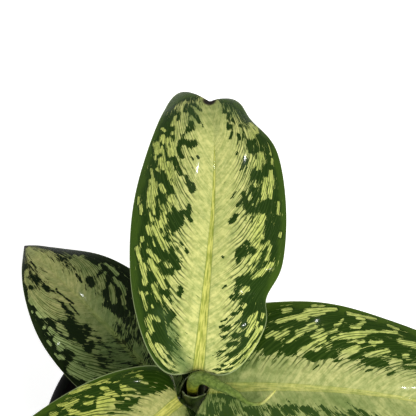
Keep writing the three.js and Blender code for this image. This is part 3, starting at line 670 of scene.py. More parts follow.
def midrib_of(leaf):
    """The midrib as frames from base to tip: point, way along, left side and upward normal."""
    point = Vector(leaf["base"])
    frames = []
    last = None
    for step in range(MIDRIB_STEPS + 1):
        s = step / MIDRIB_STEPS
        yaw = math.radians(leaf["yaw"] + leaf["turn"] * s + leaf["hook"] * s**3)
        curl = leaf["curl"] * soft_step(s, leaf["curl_from"], 1)
        pitch = math.radians(leaf["pitch"] + leaf["arch"] * s + curl)
        along = Vector((math.cos(yaw) * math.cos(pitch), math.sin(yaw) * math.cos(pitch), math.sin(pitch)))
        side = Vector((-math.sin(yaw), math.cos(yaw), 0))
        if last:
            point = point + (last + along).normalized() * leaf["length"] / MIDRIB_STEPS
        frames.append((point, along, side, along.cross(side)))
        last = along
    return frames


def frame_at(leaf, midrib, distance):
    """The midrib's frame at a distance from the base, rolled, and carried on straight past both ends."""
    place = min(1, max(0, distance / leaf["length"])) * MIDRIB_STEPS
    first = min(int(place), MIDRIB_STEPS - 1)
    share = place - first
    point, along, side, normal = [a.lerp(b, share) for a, b in zip(midrib[first], midrib[first + 1])]
    point = point + along * (min(distance, 0) + max(distance - leaf["length"], 0))
    roll = math.radians(leaf["roll"])
    rolled = side * math.cos(roll) + normal * math.sin(roll)
    return point, along, rolled, normal * math.cos(roll) - side * math.sin(roll)


def half_width(leaf, s, side):
    """Half width of the blade at s, with its dents, and how far those hang."""
    power = leaf["base_round"] * (1 - s * s) + leaf["tip_round"] * s * s
    inside = min(1 - 1e-6, max(1e-6, s))
    width = of_half(leaf, "", side) * math.sin(math.pi * inside ** leaf["skew"]) ** power
    drop = 0
    for dent_side, at, spread, inward, down in leaf["dents"]:
        if dent_side == side:
            share = math.exp(-(((s - at) / spread) ** 2))
            width -= inward * share
            drop += down * share
    return width, drop


def blade_spot(leaf, midrib, s, tau):
    """A point of the upper face, with its distances along the midrib and out to the left of it."""
    side = -1 if tau < 0 else 1
    out = abs(tau)
    width, drop = half_width(leaf, s, side)
    bulge = math.sin(math.pi * min(1, max(0, out * width / of_half(leaf, "", side) / 0.9)))
    back, on = of_half(leaf, "lobe_", side), of_half(leaf, "notch_", side)
    distance = s * leaf["length"] - back * bulge**1.2 * (1 - s) ** 6 + on * bulge * s**9
    turns = leaf["waves"] * s + leaf["phase"] + (0.37 if side < 0 else 0)
    ripple = leaf["wave"] * math.sin(2 * math.pi * turns) * soft_step(s, 0, 0.15) * (1 - soft_step(s, 0.9, 1))
    height = (
        math.tan(math.radians(leaf["fold"])) * out * width
        - leaf["droop"] * out * out * width
        + (ripple - drop) * out * out
        - leaf["lobe_drop"] * out * (1 - s) ** 7
    )
    point, along, left, normal = frame_at(leaf, midrib, distance)
    return point + left * side * out * width + normal * height, distance, side * out * width


def vein_through(leaf, s, tau, x, y):
    """Where the vein through a place sets out along the midrib, and how far the place lies from there."""
    lean = VEIN_LEAN + VEIN_LEAN_GROWTH * min(1, max(0, x / leaf["length"]))
    bent = lean / VEIN_BEND * of_half(leaf, "", y) * math.log(1 - VEIN_BEND * abs(tau))
    start = s * leaf["length"] + bent
    return start, math.hypot(x - start, y)


def paint(values, places, leaf, strokes, tone):
    """Draws strokes over the values of the blade's corners, with soft edges."""
    rows = {}
    for number, (x, _) in enumerate(places):
        rows.setdefault(round(x / PAINT_ROW), []).append(number)
    for first_s, first_v, last_s, last_v, half, *own in strokes:
        mark = own[0] if own else tone
        full = of_half(leaf, "", first_v + last_v)
        start = Vector((first_s * leaf["length"], first_v * full))
        way = Vector((last_s * leaf["length"], last_v * full)) - start
        reach = half * STROKE_FADE
        low, high = sorted((start.x, start.x + way.x))
        for row in range(round((low - reach) / PAINT_ROW), round((high + reach) / PAINT_ROW) + 1):
            for number in rows.get(row, ()):
                spot = Vector(places[number]) - start
                share = min(1, max(0, spot.dot(way) / max(way.length_squared, 1e-6)))
                away = (spot - way * share).length
                if away < reach:
                    cover = 1 - soft_step(away, STROKE_CORE * half, reach)
                    values[number] += (mark - values[number]) * cover


def map_blade(build, spots):
    """The blade's two UV maps in metres: flat along and across the midrib, and by the veins."""
    on_blade = build.loops.layers.uv.new("blade")
    on_vein = build.loops.layers.uv.new("vein")
    for face in build.faces:
        side = 1 if sum(spots[corner][1] for corner in face.verts) > 0 else -1
        for loop in face.loops:
            x, y, start, reach = spots[loop.vert]
            loop[on_blade].uv = (x * MM, y * MM)
            loop[on_vein].uv = (start * MM + HALF_OFFSET * side, reach * MM)


def blade_sheet(name, leaf, profile):
    """A blade's upper face: a fine grid drawn out to a disc and on to the leaf's outline, and painted."""
    build = bmesh.new()
    bmesh.ops.create_grid(build, x_segments=BLADE_CELLS_ALONG, y_segments=BLADE_CELLS_ACROSS, size=1)
    keys = ("cream", "grey", "rib", "edge", "scorch")
    cream, grey, rib, edge, scorch = [build.verts.layers.float.new(key) for key in keys]
    midrib = midrib_of(leaf)
    tip = Vector(midrib[-1][0])
    spots, levels = {}, []
    for corner in build.verts:
        along, across = round_off(corner.co.x, corner.co.y)
        rim = math.sqrt(max(1 - along * along, 1e-9))
        s, tau = (along + 1) / 2, min(1, max(-1, across / rim))
        point, x, y = blade_spot(leaf, midrib, s, tau)
        spots[corner] = (x, y, *vein_through(leaf, s, tau, x, y))
        near_tip = 1 - soft_step((1 - s) * leaf["length"], *TIP_FADE)
        levels.append(follow(profile, abs(tau)) - TIP_SHADE * near_tip * soft_step(abs(y), *TIP_MIDRIB))
        inside = min(1, max(0, x / leaf["length"]))
        corner[rib] = abs(y) / (RIB_HALF_WIDTH * (1 - inside) ** 1.5 + 0.1) + 3 * soft_step(inside, *RIB_END)
        corner[edge] = (1 - abs(corner.co.y)) * (1 - abs(corner.co.x)) * MARGIN_SCALE
        corner[scorch] = 1 - soft_step((point - tip).length, *SCORCH)
        corner.co = point * MM
    places = [spot[:2] for spot in spots.values()]
    greys = [0.0] * len(places)
    paint(levels, places, leaf, STROKES[name, "dark"], DARK_TONE)
    paint(levels, places, leaf, STROKES[name, "pale"], PALE_TONE)
    paint(greys, places, leaf, STROKES[name, "grey"], GREY_TONE)
    for corner, level, share in zip(build.verts, levels, greys):
        corner[cream], corner[grey] = level, share
    map_blade(build, spots)
    return build


# How far each noise shifts the border between cream and green.
GRAIN_WEIGHTS = dict(short_ends=2.2, long_ends=1.2, streaks=1.2, fine=1.5, hairs=2.1, broad=1.4)
# The leaves' colours. The faded and deep creams and the mottle are tints that a leaf's own cream is given.
CREAMS = dict(
    faded=(0.7, 0.77, 0.7), deep=(0.78, 0.83, 0.7), smoky=(0.16, 0.22, 0.085), grey=(0.085, 0.14, 0.05)
)
MOTTLE = dict(low=(0.74, 0.78, 0.7), high=(1.04, 1.03, 1.04))
GREENS = dict(
    deep=(0.01, 0.028, 0.003), margin=(0.031, 0.064, 0.007), low=(0.018, 0.045, 0.006),
    high=(0.036, 0.082, 0.012), grey=(0.035, 0.07, 0.025), vein=(0.02, 0.045, 0.007),
)
RIBS = dict(low=(0.18, 0.22, 0.03), high=(0.44, 0.45, 0.12), line=(0.09, 0.14, 0.02))
MARGIN_PALE = (0.27, 0.32, 0.15)
UNDERSIDE_PALE = (0.19, 0.27, 0.12)
SCORCHED = (0.012, 0.008, 0.005)


def tinted(tree, colour, tint):
    """A colour multiplied by a tint."""
    return blend(tree, 1.0, colour, tint, "MULTIPLY")


def vein_grains(group, given):
    """The noises of the pattern, most of them drawn out along the veins, and the strips between the veins."""
    start, reach, _ = add_node(group, "ShaderNodeSeparateXYZ", {0: given["Vein"]}).outputs

    def along_veins(across, length, shift, detail=2, roughness=0.5):
        """Noise from a place across the veins and a size along them in millimetres."""
        apart = sums(group, "ADD", given["Seed"], shift)
        parts = {0: across, 1: sums(group, "DIVIDE", reach, length * MM), 2: apart}
        place = add_node(group, "ShaderNodeCombineXYZ", parts).outputs[0]
        return cloud(group, place, 1, detail, roughness)

    def drawn_out(width, length, *rest):
        """Noise drawn out along the veins, from its sizes across and along them in millimetres."""
        return along_veins(sums(group, "DIVIDE", start, width * MM), length, *rest)

    waver = times(group, sums(group, "SUBTRACT", drawn_out(6, 12, 1.3), 0.5), STRIP_WAVER)
    strip_place = sums(group, "ADD", sums(group, "DIVIDE", start, STRIP_WIDTH * MM), waver)
    strip_place = sums(group, "ADD", sums(group, "ADD", strip_place, given["Seed"]), FIRST_STRIP)
    cells = ("ShaderNodeTexVoronoi", {"W": strip_place, "Scale": 1})
    strips = add_node(group, *cells, voronoi_dimensions="1D").outputs["W"]
    borders = add_node(group, *cells, voronoi_dimensions="1D", feature="DISTANCE_TO_EDGE").outputs["Distance"]
    return dict(
        borders=borders,
        swell=sums(group, "SINE", sums(group, "DIVIDE", start, SWELL_RADIAN * MM)),
        short_ends=along_veins(times(group, strips, 7.3), 4.5, 4.1, 1),
        long_ends=along_veins(times(group, strips, 0.37), 7, 7.9, 1),
        streaks=drawn_out(1.3, 8, 2.7, 3, 0.6),
        fine=drawn_out(0.5, 1.7, 8.2),
        hairs=drawn_out(0.4, 5, 5.4, 1),
        gaps=drawn_out(2.6, 12, 6.6),
        smoke=drawn_out(4.5, 9, 9.6, 3, 0.6),
        broad=cloud(group, given["Blade"], 120, 3),
    )


def cream_fields(group, given, grains, off_rib):
    """The cream: paler beside the midrib, deeper further out, smoky and mottled in places."""
    faded = tinted(group, given["Middle"], CREAMS["faded"])
    near = blend(group, ramp(group, grains["streaks"], 0.35, 0.65), faded, given["Middle"])
    deeper = tinted(group, given["Outer"], CREAMS["deep"])
    far = blend(group, ramp(group, grains["fine"], 0.3, 0.7), deeper, given["Outer"])
    colour = blend(group, ramp(group, off_rib, 0.012, 0.019), near, far)
    smoky = times(group, ramp(group, grains["smoke"], 0.5, 0.72), 0.4)
    colour = blend(group, smoky, colour, CREAMS["smoky"])
    colour = blend(group, times(group, given["Grey"], 0.85), colour, CREAMS["grey"])
    mottled = ramp(group, cloud(group, given["Blade"], 420, 4, 0.65), 0.38, 0.6)
    return tinted(group, colour, blend(group, mottled, MOTTLE["low"], MOTTLE["high"]))


def green_fields(group, given, grains, halo):
    """The green: deepest in the fields, lighter round the cream and out along the margin."""
    out = sums(group, "ADD", given["Cream"], times(group, grains["broad"], 0.3))
    deep = blend(group, ramp(group, out, -0.33, -0.18, 1, 0), GREENS["deep"], GREENS["margin"])
    green = blend(group, halo, deep, blend(group, grains["fine"], GREENS["low"], GREENS["high"]))
    return blend(group, times(group, given["Grey"], 0.5), green, GREENS["grey"])


def vein_lines(group, grains, off_rib):
    """Thin lines between the strips, broken here and there. They begin a little way out from the midrib."""
    outward = sums(group, "ADD", off_rib, times(group, grains["streaks"], 0.006))
    lines = ramp(group, grains["borders"], 0.13, 0.22, 1, 0)
    lines = times(group, lines, ramp(group, outward, 0.008, 0.0145))
    return times(group, lines, ramp(group, grains["gaps"], 0.32, 0.45))


def over_rib(group, given, colour, rib_line):
    """The raised rib over the pattern, pale yellowish green with a thin darker line down each side."""
    grain = cloud(group, squeeze(group, given["Blade"], (0.12, 1, 1)), 1400, 3)
    rib = blend(group, ramp(group, grain, 0.4, 0.6), RIBS["low"], RIBS["high"])
    on_rib = times(group, ramp(group, given["Rib"], 0.8, 1.1, 1, 0), given["Ribbed"])
    lined = times(group, rib_line, times(group, given["Ribbed"], 0.75))
    return blend(group, lined, blend(group, on_rib, colour, rib), RIBS["line"])


def variegation_group():
    """The blade's pattern: strips between the veins, each cream up to its own place, with dark vein lines."""
    inputs = dict.fromkeys(("Blade", "Vein"), "Vector") | dict.fromkeys(("Middle", "Outer"), "Color")
    inputs |= dict.fromkeys(("Cream", "Rib", "Grey", "Ribbed", "Seed"), "Float")
    outputs = {"Colour": "Color", "Cream": "Float", "Roughness": "Float", "Height": "Float"}
    group, given, result = new_effect("variegation", inputs, outputs)
    grains = vein_grains(group, given)
    level = given["Cream"]
    for name, weight in GRAIN_WEIGHTS.items():
        swing = times(group, sums(group, "SUBTRACT", grains[name], 0.5), weight)
        level = sums(group, "ADD", level, swing)
    cream, halo = ramp(group, level, 0.49, 0.52), ramp(group, level, 0.3, 0.5)

    out = add_node(group, "ShaderNodeSeparateXYZ", {0: given["Blade"]}).outputs[1]
    off_rib = sums(group, "ABSOLUTE", out)
    green_colour = green_fields(group, given, grains, halo)
    colour = blend(group, cream, green_colour, cream_fields(group, given, grains, off_rib))
    colour = blend(group, times(group, vein_lines(group, grains, off_rib), 0.84), colour, GREENS["vein"])
    rib_line = times(
        group, ramp(group, given["Rib"], 0.8, 1.0), ramp(group, given["Rib"], 1.0, 1.25, 1, 0)
    )
    height = times(group, ramp(group, grains["borders"], 0.0, 0.25), 0.35)
    for shape, share in ((grains["swell"], 0.12), (grains["fine"], 0.3), (rib_line, -0.4)):
        height = sums(group, "ADD", height, times(group, shape, share))
    feed(group, result, {
        "Colour": over_rib(group, given, colour, rib_line),
        "Cream": cream,
        "Roughness": ramp(group, grains["fine"], 0.2, 0.8, 0.2, 0.3),
        "Height": height,
    })
    return group


def read_attribute(tree, name):
    """A value that the mesh carries at its corners."""
    return add_node(tree, "ShaderNodeAttribute", attribute_name=name).outputs["Fac"]


def blade_finish(name, look, underside=False):
    """A blade's finish: the pattern, tinted for the leaf's age and, on a shaded leaf, with painted shade,
    glossy above and duller and paler below.
    """
    material, tree, shader, _ = new_finish(name)
    inputs = {key: read_attribute(tree, key.lower()) for key in ("Cream", "Rib", "Grey")}
    for key in ("Blade", "Vein"):
        inputs[key] = add_node(tree, "ShaderNodeUVMap", uv_map=key.lower()).outputs[0]
    inputs |= {key: look[key.lower()] for key in ("Ribbed", "Middle", "Outer", "Seed")}
    pattern = add_node(tree, "ShaderNodeGroup", inputs, node_tree=variegation).outputs
    # The tint is the leaf's age and, for the back left leaf, partly painted shade.
    tint_and_shade = blend(tree, pattern["Cream"], [look["greens"] * share for share in look["tint"]], look["tint"])
    # Painted light: a pale line along the margin, where the thin edge catches the light.
    margin = ramp(tree, read_attribute(tree, "edge"), 0.08, 0.2, 0.6, 0)
    colour = blend(tree, margin, tinted(tree, pattern["Colour"], tint_and_shade), MARGIN_PALE)
    if underside:
        colour = blend(tree, 0.62, colour, UNDERSIDE_PALE)
    feed(tree, shader.inputs, {
        "Base Color": blend(tree, read_attribute(tree, "scorch"), colour, SCORCHED),
        "Roughness": pattern["Roughness"],
        "Specular IOR Level": 0.5 * look["gloss"],
        "Specular Tint": (1, 1, 0.7),
        "Coat Weight": 0 if underside else look["gloss"],
        "Coat Roughness": 0.06,
        "Normal": relief(tree, pattern["Height"], 0.35, 0.3),
    })
    return material


# How each blade looks: its profile of cream, a number that makes its pattern its own, its tint, how much of
# that tint its greens keep, how much of the rib shows, its cream beside the midrib and further out, and its
# gloss.
BLADES = {
    "leaf_back": dict(
        piece="back_blade", profile=FEATHERED, seed=3.1, tint=(1.16, 1.12, 0.92), greens=0.9, ribbed=0.85,
        middle=(0.455, 0.472, 0.2), outer=(0.425, 0.47, 0.155), gloss=0.12,
    ),
    "leaf_right": dict(
        piece="right_blade", profile=BANDED, seed=7.7, tint=(1.2, 1.1, 0.8), greens=0.98, ribbed=0.3,
        middle=(0.325, 0.358, 0.187), outer=(0.385, 0.453, 0.18), gloss=0.08,
    ),
    "leaf_front_left": dict(
        piece="front_left_blade", profile=BANDED, seed=12.4, tint=(1.12, 1.03, 0.68), greens=1.0, ribbed=0.6,
        middle=(0.315, 0.332, 0.176), outer=(0.39, 0.444, 0.152), gloss=0.08,
    ),
    # This leaf's dark tint and low greens are partly its older green and partly painted shade from the back
    # leaf above it.
    "leaf_back_left": dict(
        piece="back_left_blade", profile=CRUMBLED, seed=21.9, tint=(0.82, 0.86, 0.76), greens=0.28,
        ribbed=0.15, middle=(0.37, 0.35, 0.15), outer=(0.38, 0.44, 0.2), gloss=0.06,
    ),
    "leaf_front": dict(
        piece="front_blade", profile=FEATHERED, seed=33.2, tint=(0.75, 0.8, 0.75), greens=0.9, ribbed=0.5,
        middle=(0.4, 0.42, 0.16), outer=(0.4, 0.45, 0.13), gloss=0.15,
    ),
}

variegation = variegation_group()
for name, look in BLADES.items():
    above = blade_finish(look["piece"] + " above", look)
    below = blade_finish(look["piece"] + " below", look, underside=True)
    sheet = blade_sheet(name, LEAVES[name], look["profile"])
    sheet.edges.index_update()
    border = [edge.index for edge in sheet.edges if edge.is_boundary]
    blade = join_to_scene(look["piece"], sheet, [above, below], "variegated_leaf", name)
    for number in border:
        blade.data.edges[number].use_edge_sharp = True
    skin = blade.modifiers.new("thickness", "SOLIDIFY")
    skin.thickness = BLADE_THICKNESS * MM
    skin.offset = -1
    skin.material_offset = 1
    skin.material_offset_rim = 1

# ------------------------------------------------------------ shoot
# The green shoot that all the blades grow from: a stout cane with the rings of fallen leaves, and a fleshy
# stalk for each leaf, which wraps the cane at its foot and runs on under the blade as its midrib. It grew in
# one piece.

CANE_FOOT = 90
CANE_TIP = 166
CANE_LINE = [(0, 0, CANE_FOOT), (0, 0, 107), (-0.5, 1.2, 132), (-1.8, 3.4, 152), (-2.2, 4.2, CANE_TIP)]
CANE_TIP_RADIUS = 3.6
CANE_TAPER_FROM = 125
CANE_SCARS = (109, 115, 121)
STALK_BELOW = 3.9
NECK_LENGTH = 3
RIB_PLACES = (0.035, 0.09, 0.18, 0.3, 0.45, 0.6, 0.75, 0.9)
RIB_RADIUS = 1.5
RIB_TAPER = 0.85
RIB_SINK = 0.85  # how much of the midrib's radius lies below the blade
CURVE_STEPS = 16
STALKS = {
    "leaf_back": dict(
        foot=6.5, neck=2.0, lean=95, behind=0.4,
        line=[(-0.5, 2, 128), (0.2, 7, 152), (0.6, 9, 168), (0.4, 9.1, 178)],
    ),
    "leaf_right": dict(
        foot=6.8, neck=2.3, lean=95, behind=0,
        line=[(0, 0, 122), (4.4, 0.8, 146), (5.2, 3.2, 163), (4.7, 4.2, 171)],
    ),
    "leaf_front_left": dict(
        foot=7, neck=2.3, lean=70, behind=1.1,
        line=[(-1, 0, 118), (-5.6, -0.4, 144), (-8, 1.6, 158), (-8.2, 2, 166)],
    ),
    "leaf_back_left": dict(
        foot=7.4, neck=2.2, lean=55, behind=1.1, line=[(-0.5, 1, 115), (-5.5, 6, 131), (-8.6, 9.4, 141)]
    ),
    "leaf_front": dict(
        foot=7.8, neck=2.2, lean=55, behind=1.1, line=[(0, -0.5, 110), (0.8, -5.2, 125), (1.7, -7.4, 135)]
    ),
}
CROWN_SHADE_HEIGHTS = (0.15, 0.172)  # heights in metres between which painted shade darkens the crown
CROWN_PAINTED_SHADE = (0.2, 0.21, 0.18)


def lengths_to(points):
    """How far along a line each of its points lies."""
    reached = [0]
    for a, b in zip(points, points[1:]):
        reached.append(reached[-1] + (Vector(b) - Vector(a)).length)
    return reached


def smooth_line(points, steps):
    """Evenly spaced places on a smooth curve through the points, each with its direction."""
    points = [Vector(point) for point in points]
    dense = [points[0]]
    for i in range(len(points) - 1):
        before, after = points[max(i - 1, 0)], points[min(i + 2, len(points) - 1)]
        first, last = points[i], points[i + 1]
        for step in range(1, CURVE_STEPS + 1):
            t = step / CURVE_STEPS
            pull_in, pull_out = (last - before) / 2, (after - first) / 2
            dense.append(
                first * (2 * t**3 - 3 * t**2 + 1) + pull_in * (t**3 - 2 * t**2 + t)
                + last * (3 * t**2 - 2 * t**3) + pull_out * (t**3 - t**2)
            )
    reached = lengths_to(dense)
    places = []
    k = 0
    for step in range(steps + 1):
        goal = reached[-1] * step / steps
        while k < len(dense) - 2 and reached[k + 1] < goal:
            k += 1
        share = (goal - reached[k]) / max(reached[k + 1] - reached[k], 1e-9)
        places.append((dense[k].lerp(dense[k + 1], share), (dense[k + 1] - dense[k]).normalized()))
    return places


def shares_of(points):
    """The share of the length at which each point of a line lies."""
    reached = lengths_to(points)
    return [length / reached[-1] for length in reached]


def tube(build, points, radius_at, sides, steps):
    """A round bar along a line: a grid rolled up, with its radius worked out from length and angle."""
    places = smooth_line(points, steps)
    across = places[0][1].orthogonal().normalized()
    rings = []
    for centre, way in places:
        across = (across - way * across.dot(way)).normalized()
        rings.append((centre, across, way.cross(across)))
    carried = build.verts.layers.float.get("along") or build.verts.layers.float.new("along")
    made = bmesh.ops.create_grid(build, x_segments=steps, y_segments=sides, size=1)["verts"]
    for corner in made:
        step = round((corner.co.x + 1) / 2 * steps)
        angle = math.pi * corner.co.y
        centre, out, aside = rings[step]
        radius = radius_at(step / steps, angle)
        corner[carried] = step / steps
        corner.co = (centre + (out * math.cos(angle) + aside * math.sin(angle)) * radius) * MM
    bmesh.ops.remove_doubles(build, verts=made, dist=2e-6)


def cane_radius(share, angle):
    """The cane's radius: it tapers into the crown, and swells a little at each scar."""
    height = CANE_FOOT + (CANE_TIP - CANE_FOOT) * share
    taper = CANE_RADIUS + (CANE_TIP_RADIUS - CANE_RADIUS) * soft_step(height, CANE_TAPER_FROM, CANE_TIP - 4)
    rings = sum(math.exp(-(((height - scar) / 1.1) ** 2)) for scar in CANE_SCARS)
    return taper + 0.9 * rings + 0.15 * math.sin(3 * angle + height / 4)


def grow_stalk(build, leaf, stalk):
    """A stalk from the cane up to its blade, and on under the blade as its midrib."""
    midrib = midrib_of(leaf)
    start, along, _, normal = midrib[0]
    end = start - along * stalk["behind"] - normal * STALK_BELOW
    lean = math.radians(stalk["lean"])
    before = end - along * NECK_LENGTH * math.cos(lean) - normal * NECK_LENGTH * math.sin(lean)
    line = [*stalk["line"], before, end]
    under = []
    for s in RIB_PLACES:
        point, _, _, up = frame_at(leaf, midrib, s * leaf["length"])
        thick = RIB_RADIUS * (1 - RIB_TAPER * s)
        under.append((point - up * (BLADE_THICKNESS + RIB_SINK * thick), thick))
    points = line + [point for point, _ in under]
    shares = shares_of(points)
    at_neck = shares[len(line) - 1]
    after = [(at_neck, stalk["neck"]), *zip(shares[len(line):], [thick for _, thick in under])]

    def radius_at(share, _):
        """The stalk's radius, and the midrib's past the neck."""
        if share <= at_neck:
            narrowing = soft_step(share / at_neck, 0, 0.75) ** 0.6
            return stalk["foot"] + (stalk["neck"] - stalk["foot"]) * narrowing
        return follow(after, share)

    tube(build, points, radius_at, sides=20, steps=130)


def shoot_form():
    """The cane and its five stalks."""
    build = bmesh.new()
    tube(build, CANE_LINE, cane_radius, sides=40, steps=120)
    for name, stalk in STALKS.items():
        grow_stalk(build, LEAVES[name], stalk)
    close_up(build)
    return build


def flesh_group():
    """Fleshy green skin with fine paler streaks running up it, and painted shade that darkens it up in the
    crown.
    """
    inputs = {"Place": "Vector", "Scale": "Float", "Light": "Color", "Dark": "Color"}
    group, given, result = new_effect("fleshy skin", inputs, {"Colour": "Color", "Streaks": "Float"})
    streaks = cloud(group, squeeze(group, given["Place"], (1, 1, 0.16)), given["Scale"], 4, 0.6)
    halves = [times(group, part, 0.5) for part in (cloud(group, given["Place"], 260, 3), streaks)]
    share = ramp(group, sums(group, "ADD", *halves), 0.4, 0.6)
    height = add_node(group, "ShaderNodeSeparateXYZ", {0: given["Place"]}).outputs[2]
    # Painted shade: the skin gets darker up in the crown, among the leaf bases, where shade falls.
    crown_shade = blend(group, ramp(group, height, *CROWN_SHADE_HEIGHTS), (1, 1, 1), CROWN_PAINTED_SHADE)
    skin = blend(group, share, given["Dark"], given["Light"])
    feed(group, result, {"Colour": tinted(group, skin, crown_shade), "Streaks": streaks})
    return group


def fleshy_finish(name, light, dark, streak_size):
    """Fleshy skin with a waxy sheen, and what its parts need to go on from it."""
    material, tree, shader, place = new_finish(name)
    inputs = {"Place": place, "Scale": 1 / (streak_size * MM), "Light": light, "Dark": dark}
    skin = add_node(tree, "ShaderNodeGroup", inputs, node_tree=fleshy_skin).outputs
    feed(tree, shader.inputs, {
        "Base Color": skin["Colour"],
        "Roughness": ramp(tree, skin["Streaks"], 0.3, 0.7, 0.32, 0.5),
        "Specular IOR Level": 0.25,
        "Normal": relief(tree, skin["Streaks"], 0.3, 0.3),
    })
    return material, tree, shader, place, skin["Colour"]


fleshy_skin = flesh_group()
stem_finish, *_ = fleshy_finish("green stem", (0.15, 0.23, 0.05), (0.05, 0.1, 0.02), 1.4)
join_to_scene("cane_and_stalks", shoot_form(), [stem_finish], "green_stem", "shoot")

# ------------------------------------------------------------ sheaths
# Thin membranous edges of the youngest leaf stalks. They wrap the rolled leaf like open cups, with a pale,
# almost papery rim, and are part of the grown shoot.

SHEATHS = [
    dict(centre=(-2, 4), radius=4.9, bottom=146, start=70, end=172, rim=(184, 181.5, 177)),
    dict(centre=(-1.6, 4.4), radius=4.3, bottom=146, start=188, end=335, rim=(181.5, 186, 182.5)),
]
SHEATH_THICKNESS = 0.5
SHEATH_FLARE = 0.4


def sheath_cup(sheath):
    """A grid bent round the rolled leaf, with a rim that rises and falls."""
    build = bmesh.new()
    bmesh.ops.create_grid(build, x_segments=48, y_segments=36, size=1)
    along = build.verts.layers.float.new("along")
    low, middle, high = sheath["rim"]
    for corner in build.verts:
        share, rise = (corner.co.x + 1) / 2, (corner.co.y + 1) / 2
        angle = math.radians(sheath["start"] + (sheath["end"] - sheath["start"]) * share)
        first, second, third = (1 - share) * (1 - 2 * share), 4 * share * (1 - share), share * (2 * share - 1)
        top = first * low + second * middle + third * high + 0.25 * math.sin(19 * share)
        reach = sheath["radius"] + SHEATH_FLARE * rise**3 + 0.12 * math.sin(9 * share + 4 * rise)
        height = sheath["bottom"] + (top - sheath["bottom"]) * rise
        corner[along] = (top - height) / 4
        x, y = sheath["centre"]
        corner.co = Vector((x + reach * math.cos(angle), y + reach * math.sin(angle), height)) * MM
    bmesh.ops.recalc_face_normals(build, faces=build.faces)
    return build


def membrane():
    """Green flesh that runs out into a pale rim, worn in places."""
    material, tree, shader, place, green = fleshy_finish(
        "sheath membrane", (0.1, 0.16, 0.03), (0.03, 0.06, 0.01), 0.9
    )
    worn = ramp(tree, cloud(tree, place, 420), 0.4, 0.6, 0.2, 0.75)
    pale = times(tree, ramp(tree, read_attribute(tree, "along"), 0.01, 0.08, 1, 0), worn)
    feed(tree, shader.inputs, {"Base Color": blend(tree, pale, green, (0.16, 0.19, 0.07))})
    return material


membrane_finish = membrane()
for number, sheath in enumerate(SHEATHS, 1):
    cup = join_to_scene(f"sheath_{number}", sheath_cup(sheath), [membrane_finish], "green_stem")
    skin = cup.modifiers.new("thickness", "SOLIDIFY")
    skin.thickness = SHEATH_THICKNESS * MM
    skin.offset = 0

# ------------------------------------------------------------ rolled leaf
# The youngest leaf, still rolled up tight. It comes out of the sheaths, leans over to the right above the
# open leaf there, and thins to a yellowish tail. The outer edge of the roll shows as a seam that winds along.

ROLL_LINE = [
    (-2.2, 4.2, 166.6), (-2.2, 4.5, 178), (-2, 4.8, 186), (-0.8, 5.4, 190.8), (2.4, 4.8, 193.2),
    (6.6, 2.6, 192.8), (10, 1.3, 192), (12.4, 0.2, 191.4), (14.6, -0.9, 190.9), (16.8, -2.6, 190.3),
    (19.6, -4.1, 189.9), (24, -3.9, 189.5), (27.2, -1.2, 189.7), (29.4, 1.1, 190.2),
]
ROLL_RADII = [2.1, 2.2, 2.6, 2.86, 2.65, 2.4, 2.0, 1.7, 1.5, 1.2, 0.9, 0.7, 0.6, 0.4]
SEAM_STEP = 0.13
# Inside the sheaths the roll is yellower and, as painted shade, darker.
SHEATHED_GREEN_IN_SHADE = ((0.035, 0.045, 0.003), (0.16, 0.17, 0.01))
BLOOM_GREEN = ((0.045, 0.076, 0.009), (0.115, 0.162, 0.03))
TAIL_YELLOW = ((0.32, 0.33, 0.07), (0.45, 0.44, 0.15))


def roll_form():
    """A bar whose radius steps at the seam, which winds half a turn along it."""
    radii = list(zip(shares_of(ROLL_LINE), ROLL_RADII))

    def radius_at(share, angle):
        """The roll's radius at a share of its length and an angle round it."""
        wound = ((angle + math.pi) / (2 * math.pi) + 0.35 + 0.5 * share) % 1
        step = SEAM_STEP * soft_step(wound, 0.0, 0.9) * (1 - soft_step(wound, 0.93, 1.0))
        return follow(radii, share) * (1 - step)

    build = bmesh.new()
    tube(build, ROLL_LINE, radius_at, sides=56, steps=220)
    close_up(build)
    return build


def young_skin():
    """Soft green with a bluish bloom over the bend, yellower and, as painted shade, darker inside the
    sheaths, and yellower along the tail.
    """
    material, tree, shader, place = new_finish("young leaf")
    along = read_attribute(tree, "along")
    streaks = ramp(tree, cloud(tree, place, 650, 4, 0.65), 0.35, 0.65)
    ribs = cloud(tree, squeeze(tree, place, (0.25, 1, 1)), 1500)
    young, bloom, tail = [
        blend(tree, streaks, *pair) for pair in (SHEATHED_GREEN_IN_SHADE, BLOOM_GREEN, TAIL_YELLOW)
    ]
    # Low down in the sheaths the colour is darker, which is painted shade.
    colour = blend(tree, ramp(tree, along, 0.3, 0.42), young, bloom)
    feed(tree, shader.inputs, {
        "Base Color": blend(tree, ramp(tree, along, 0.8, 0.97), colour, tail),
        "Roughness": ramp(tree, ribs, 0.3, 0.7, 0.36, 0.5),
        "Specular IOR Level": 0.2,
        "Normal": relief(tree, ribs, 0.6, 0.3),
    })
    return material


join_to_scene("rolled_young_leaf", roll_form(), [young_skin()], "young_leaf", "rolled_leaf")

# ------------------------------------------------------------ studio
# A white table and soft light from all round, with a large soft box in front and a few small lamps behind the
# plant that glint on the glossy leaves. The camera looks steeply down from the front, as in the photograph.

TABLE_SIZE = 6
CAMERA_PLACE = (0.0037, -0.27916, 1.02845)
CAMERA_TILT = 23
CAMERA_LENS = 199.8
CAMERA_SENSOR = 36
PLANT_HEART = Vector((0, 0, 0.17))  # where the lamps point
WHITE = (1, 1, 1)

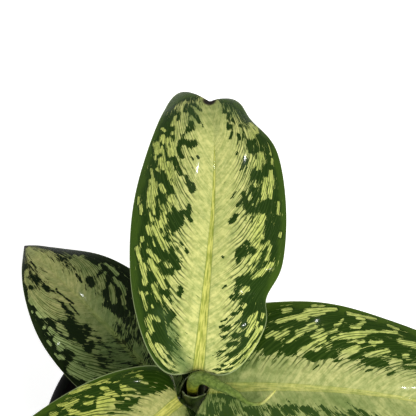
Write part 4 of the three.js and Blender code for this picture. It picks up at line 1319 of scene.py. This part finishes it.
floor_build = bmesh.new()
bmesh.ops.create_grid(floor_build, x_segments=1, y_segments=1, size=TABLE_SIZE)
floor_mesh = bpy.data.meshes.new("table_top")
floor_build.to_mesh(floor_mesh)
floor_build.free()
floor = bpy.data.objects.new("table_top", floor_mesh)
bpy.context.scene.collection.objects.link(floor)
floor_finish, floor_tree, floor_shader, floor_place = new_finish("white table")
floor_clouds = cloud(floor_tree, floor_place, 3)
feed(floor_tree, floor_shader.inputs, {
    "Base Color": blend(floor_tree, floor_clouds, (0.88, 0.88, 0.88), (0.9, 0.9, 0.9)),
    "Roughness": 0.9,
    "Emission Color": WHITE,
    "Emission Strength": 0.5,
})
floor_mesh.materials.append(floor_finish)

world = bpy.data.worlds.new("studio")
bpy.context.scene.world = world
world.use_nodes = True
feed(world.node_tree, world.node_tree.nodes["Background"].inputs, {"Color": WHITE, "Strength": 0.5})


def soft_box(name, place, size, power):
    """A square lamp that faces the plant. Only the small ones glint on it."""
    lamp = bpy.data.lights.new(name, "AREA")
    lamp.size = size
    lamp.energy = power
    box = bpy.data.objects.new(name, lamp)
    box.location = place
    box.rotation_mode = "QUATERNION"
    box.rotation_quaternion = (PLANT_HEART - Vector(place)).to_track_quat("-Z", "Y")
    box.visible_camera = False
    box.visible_glossy = size < 0.1
    bpy.context.scene.collection.objects.link(box)


soft_box("front soft box", (0.7, -1.0, 1.3), 0.8, 38)
soft_box("table light left", (-0.9, 0.3, 0.1), 0.3, 6)
soft_box("back lamp", (0.14, 0.888, 1.212), 0.03, 1.1)
soft_box("right lamp", (0.61, 0.059, 1.366), 0.018, 0.8)
soft_box("far right lamp", (0.655, 0.083, 1.346), 0.018, 0.8)
soft_box("left lamp", (-0.835, 0.849, 0.808), 0.024, 0.8)

scene = bpy.context.scene
scene.view_settings.view_transform = "Standard"
camera = bpy.data.cameras.new("camera")
camera.lens = CAMERA_LENS
camera.sensor_width = CAMERA_SENSOR
camera_object = bpy.data.objects.new("camera", camera)
camera_object.location = CAMERA_PLACE
camera_object.rotation_euler = (math.radians(CAMERA_TILT), 0, 0)
scene.collection.objects.link(camera_object)
scene.camera = camera_object
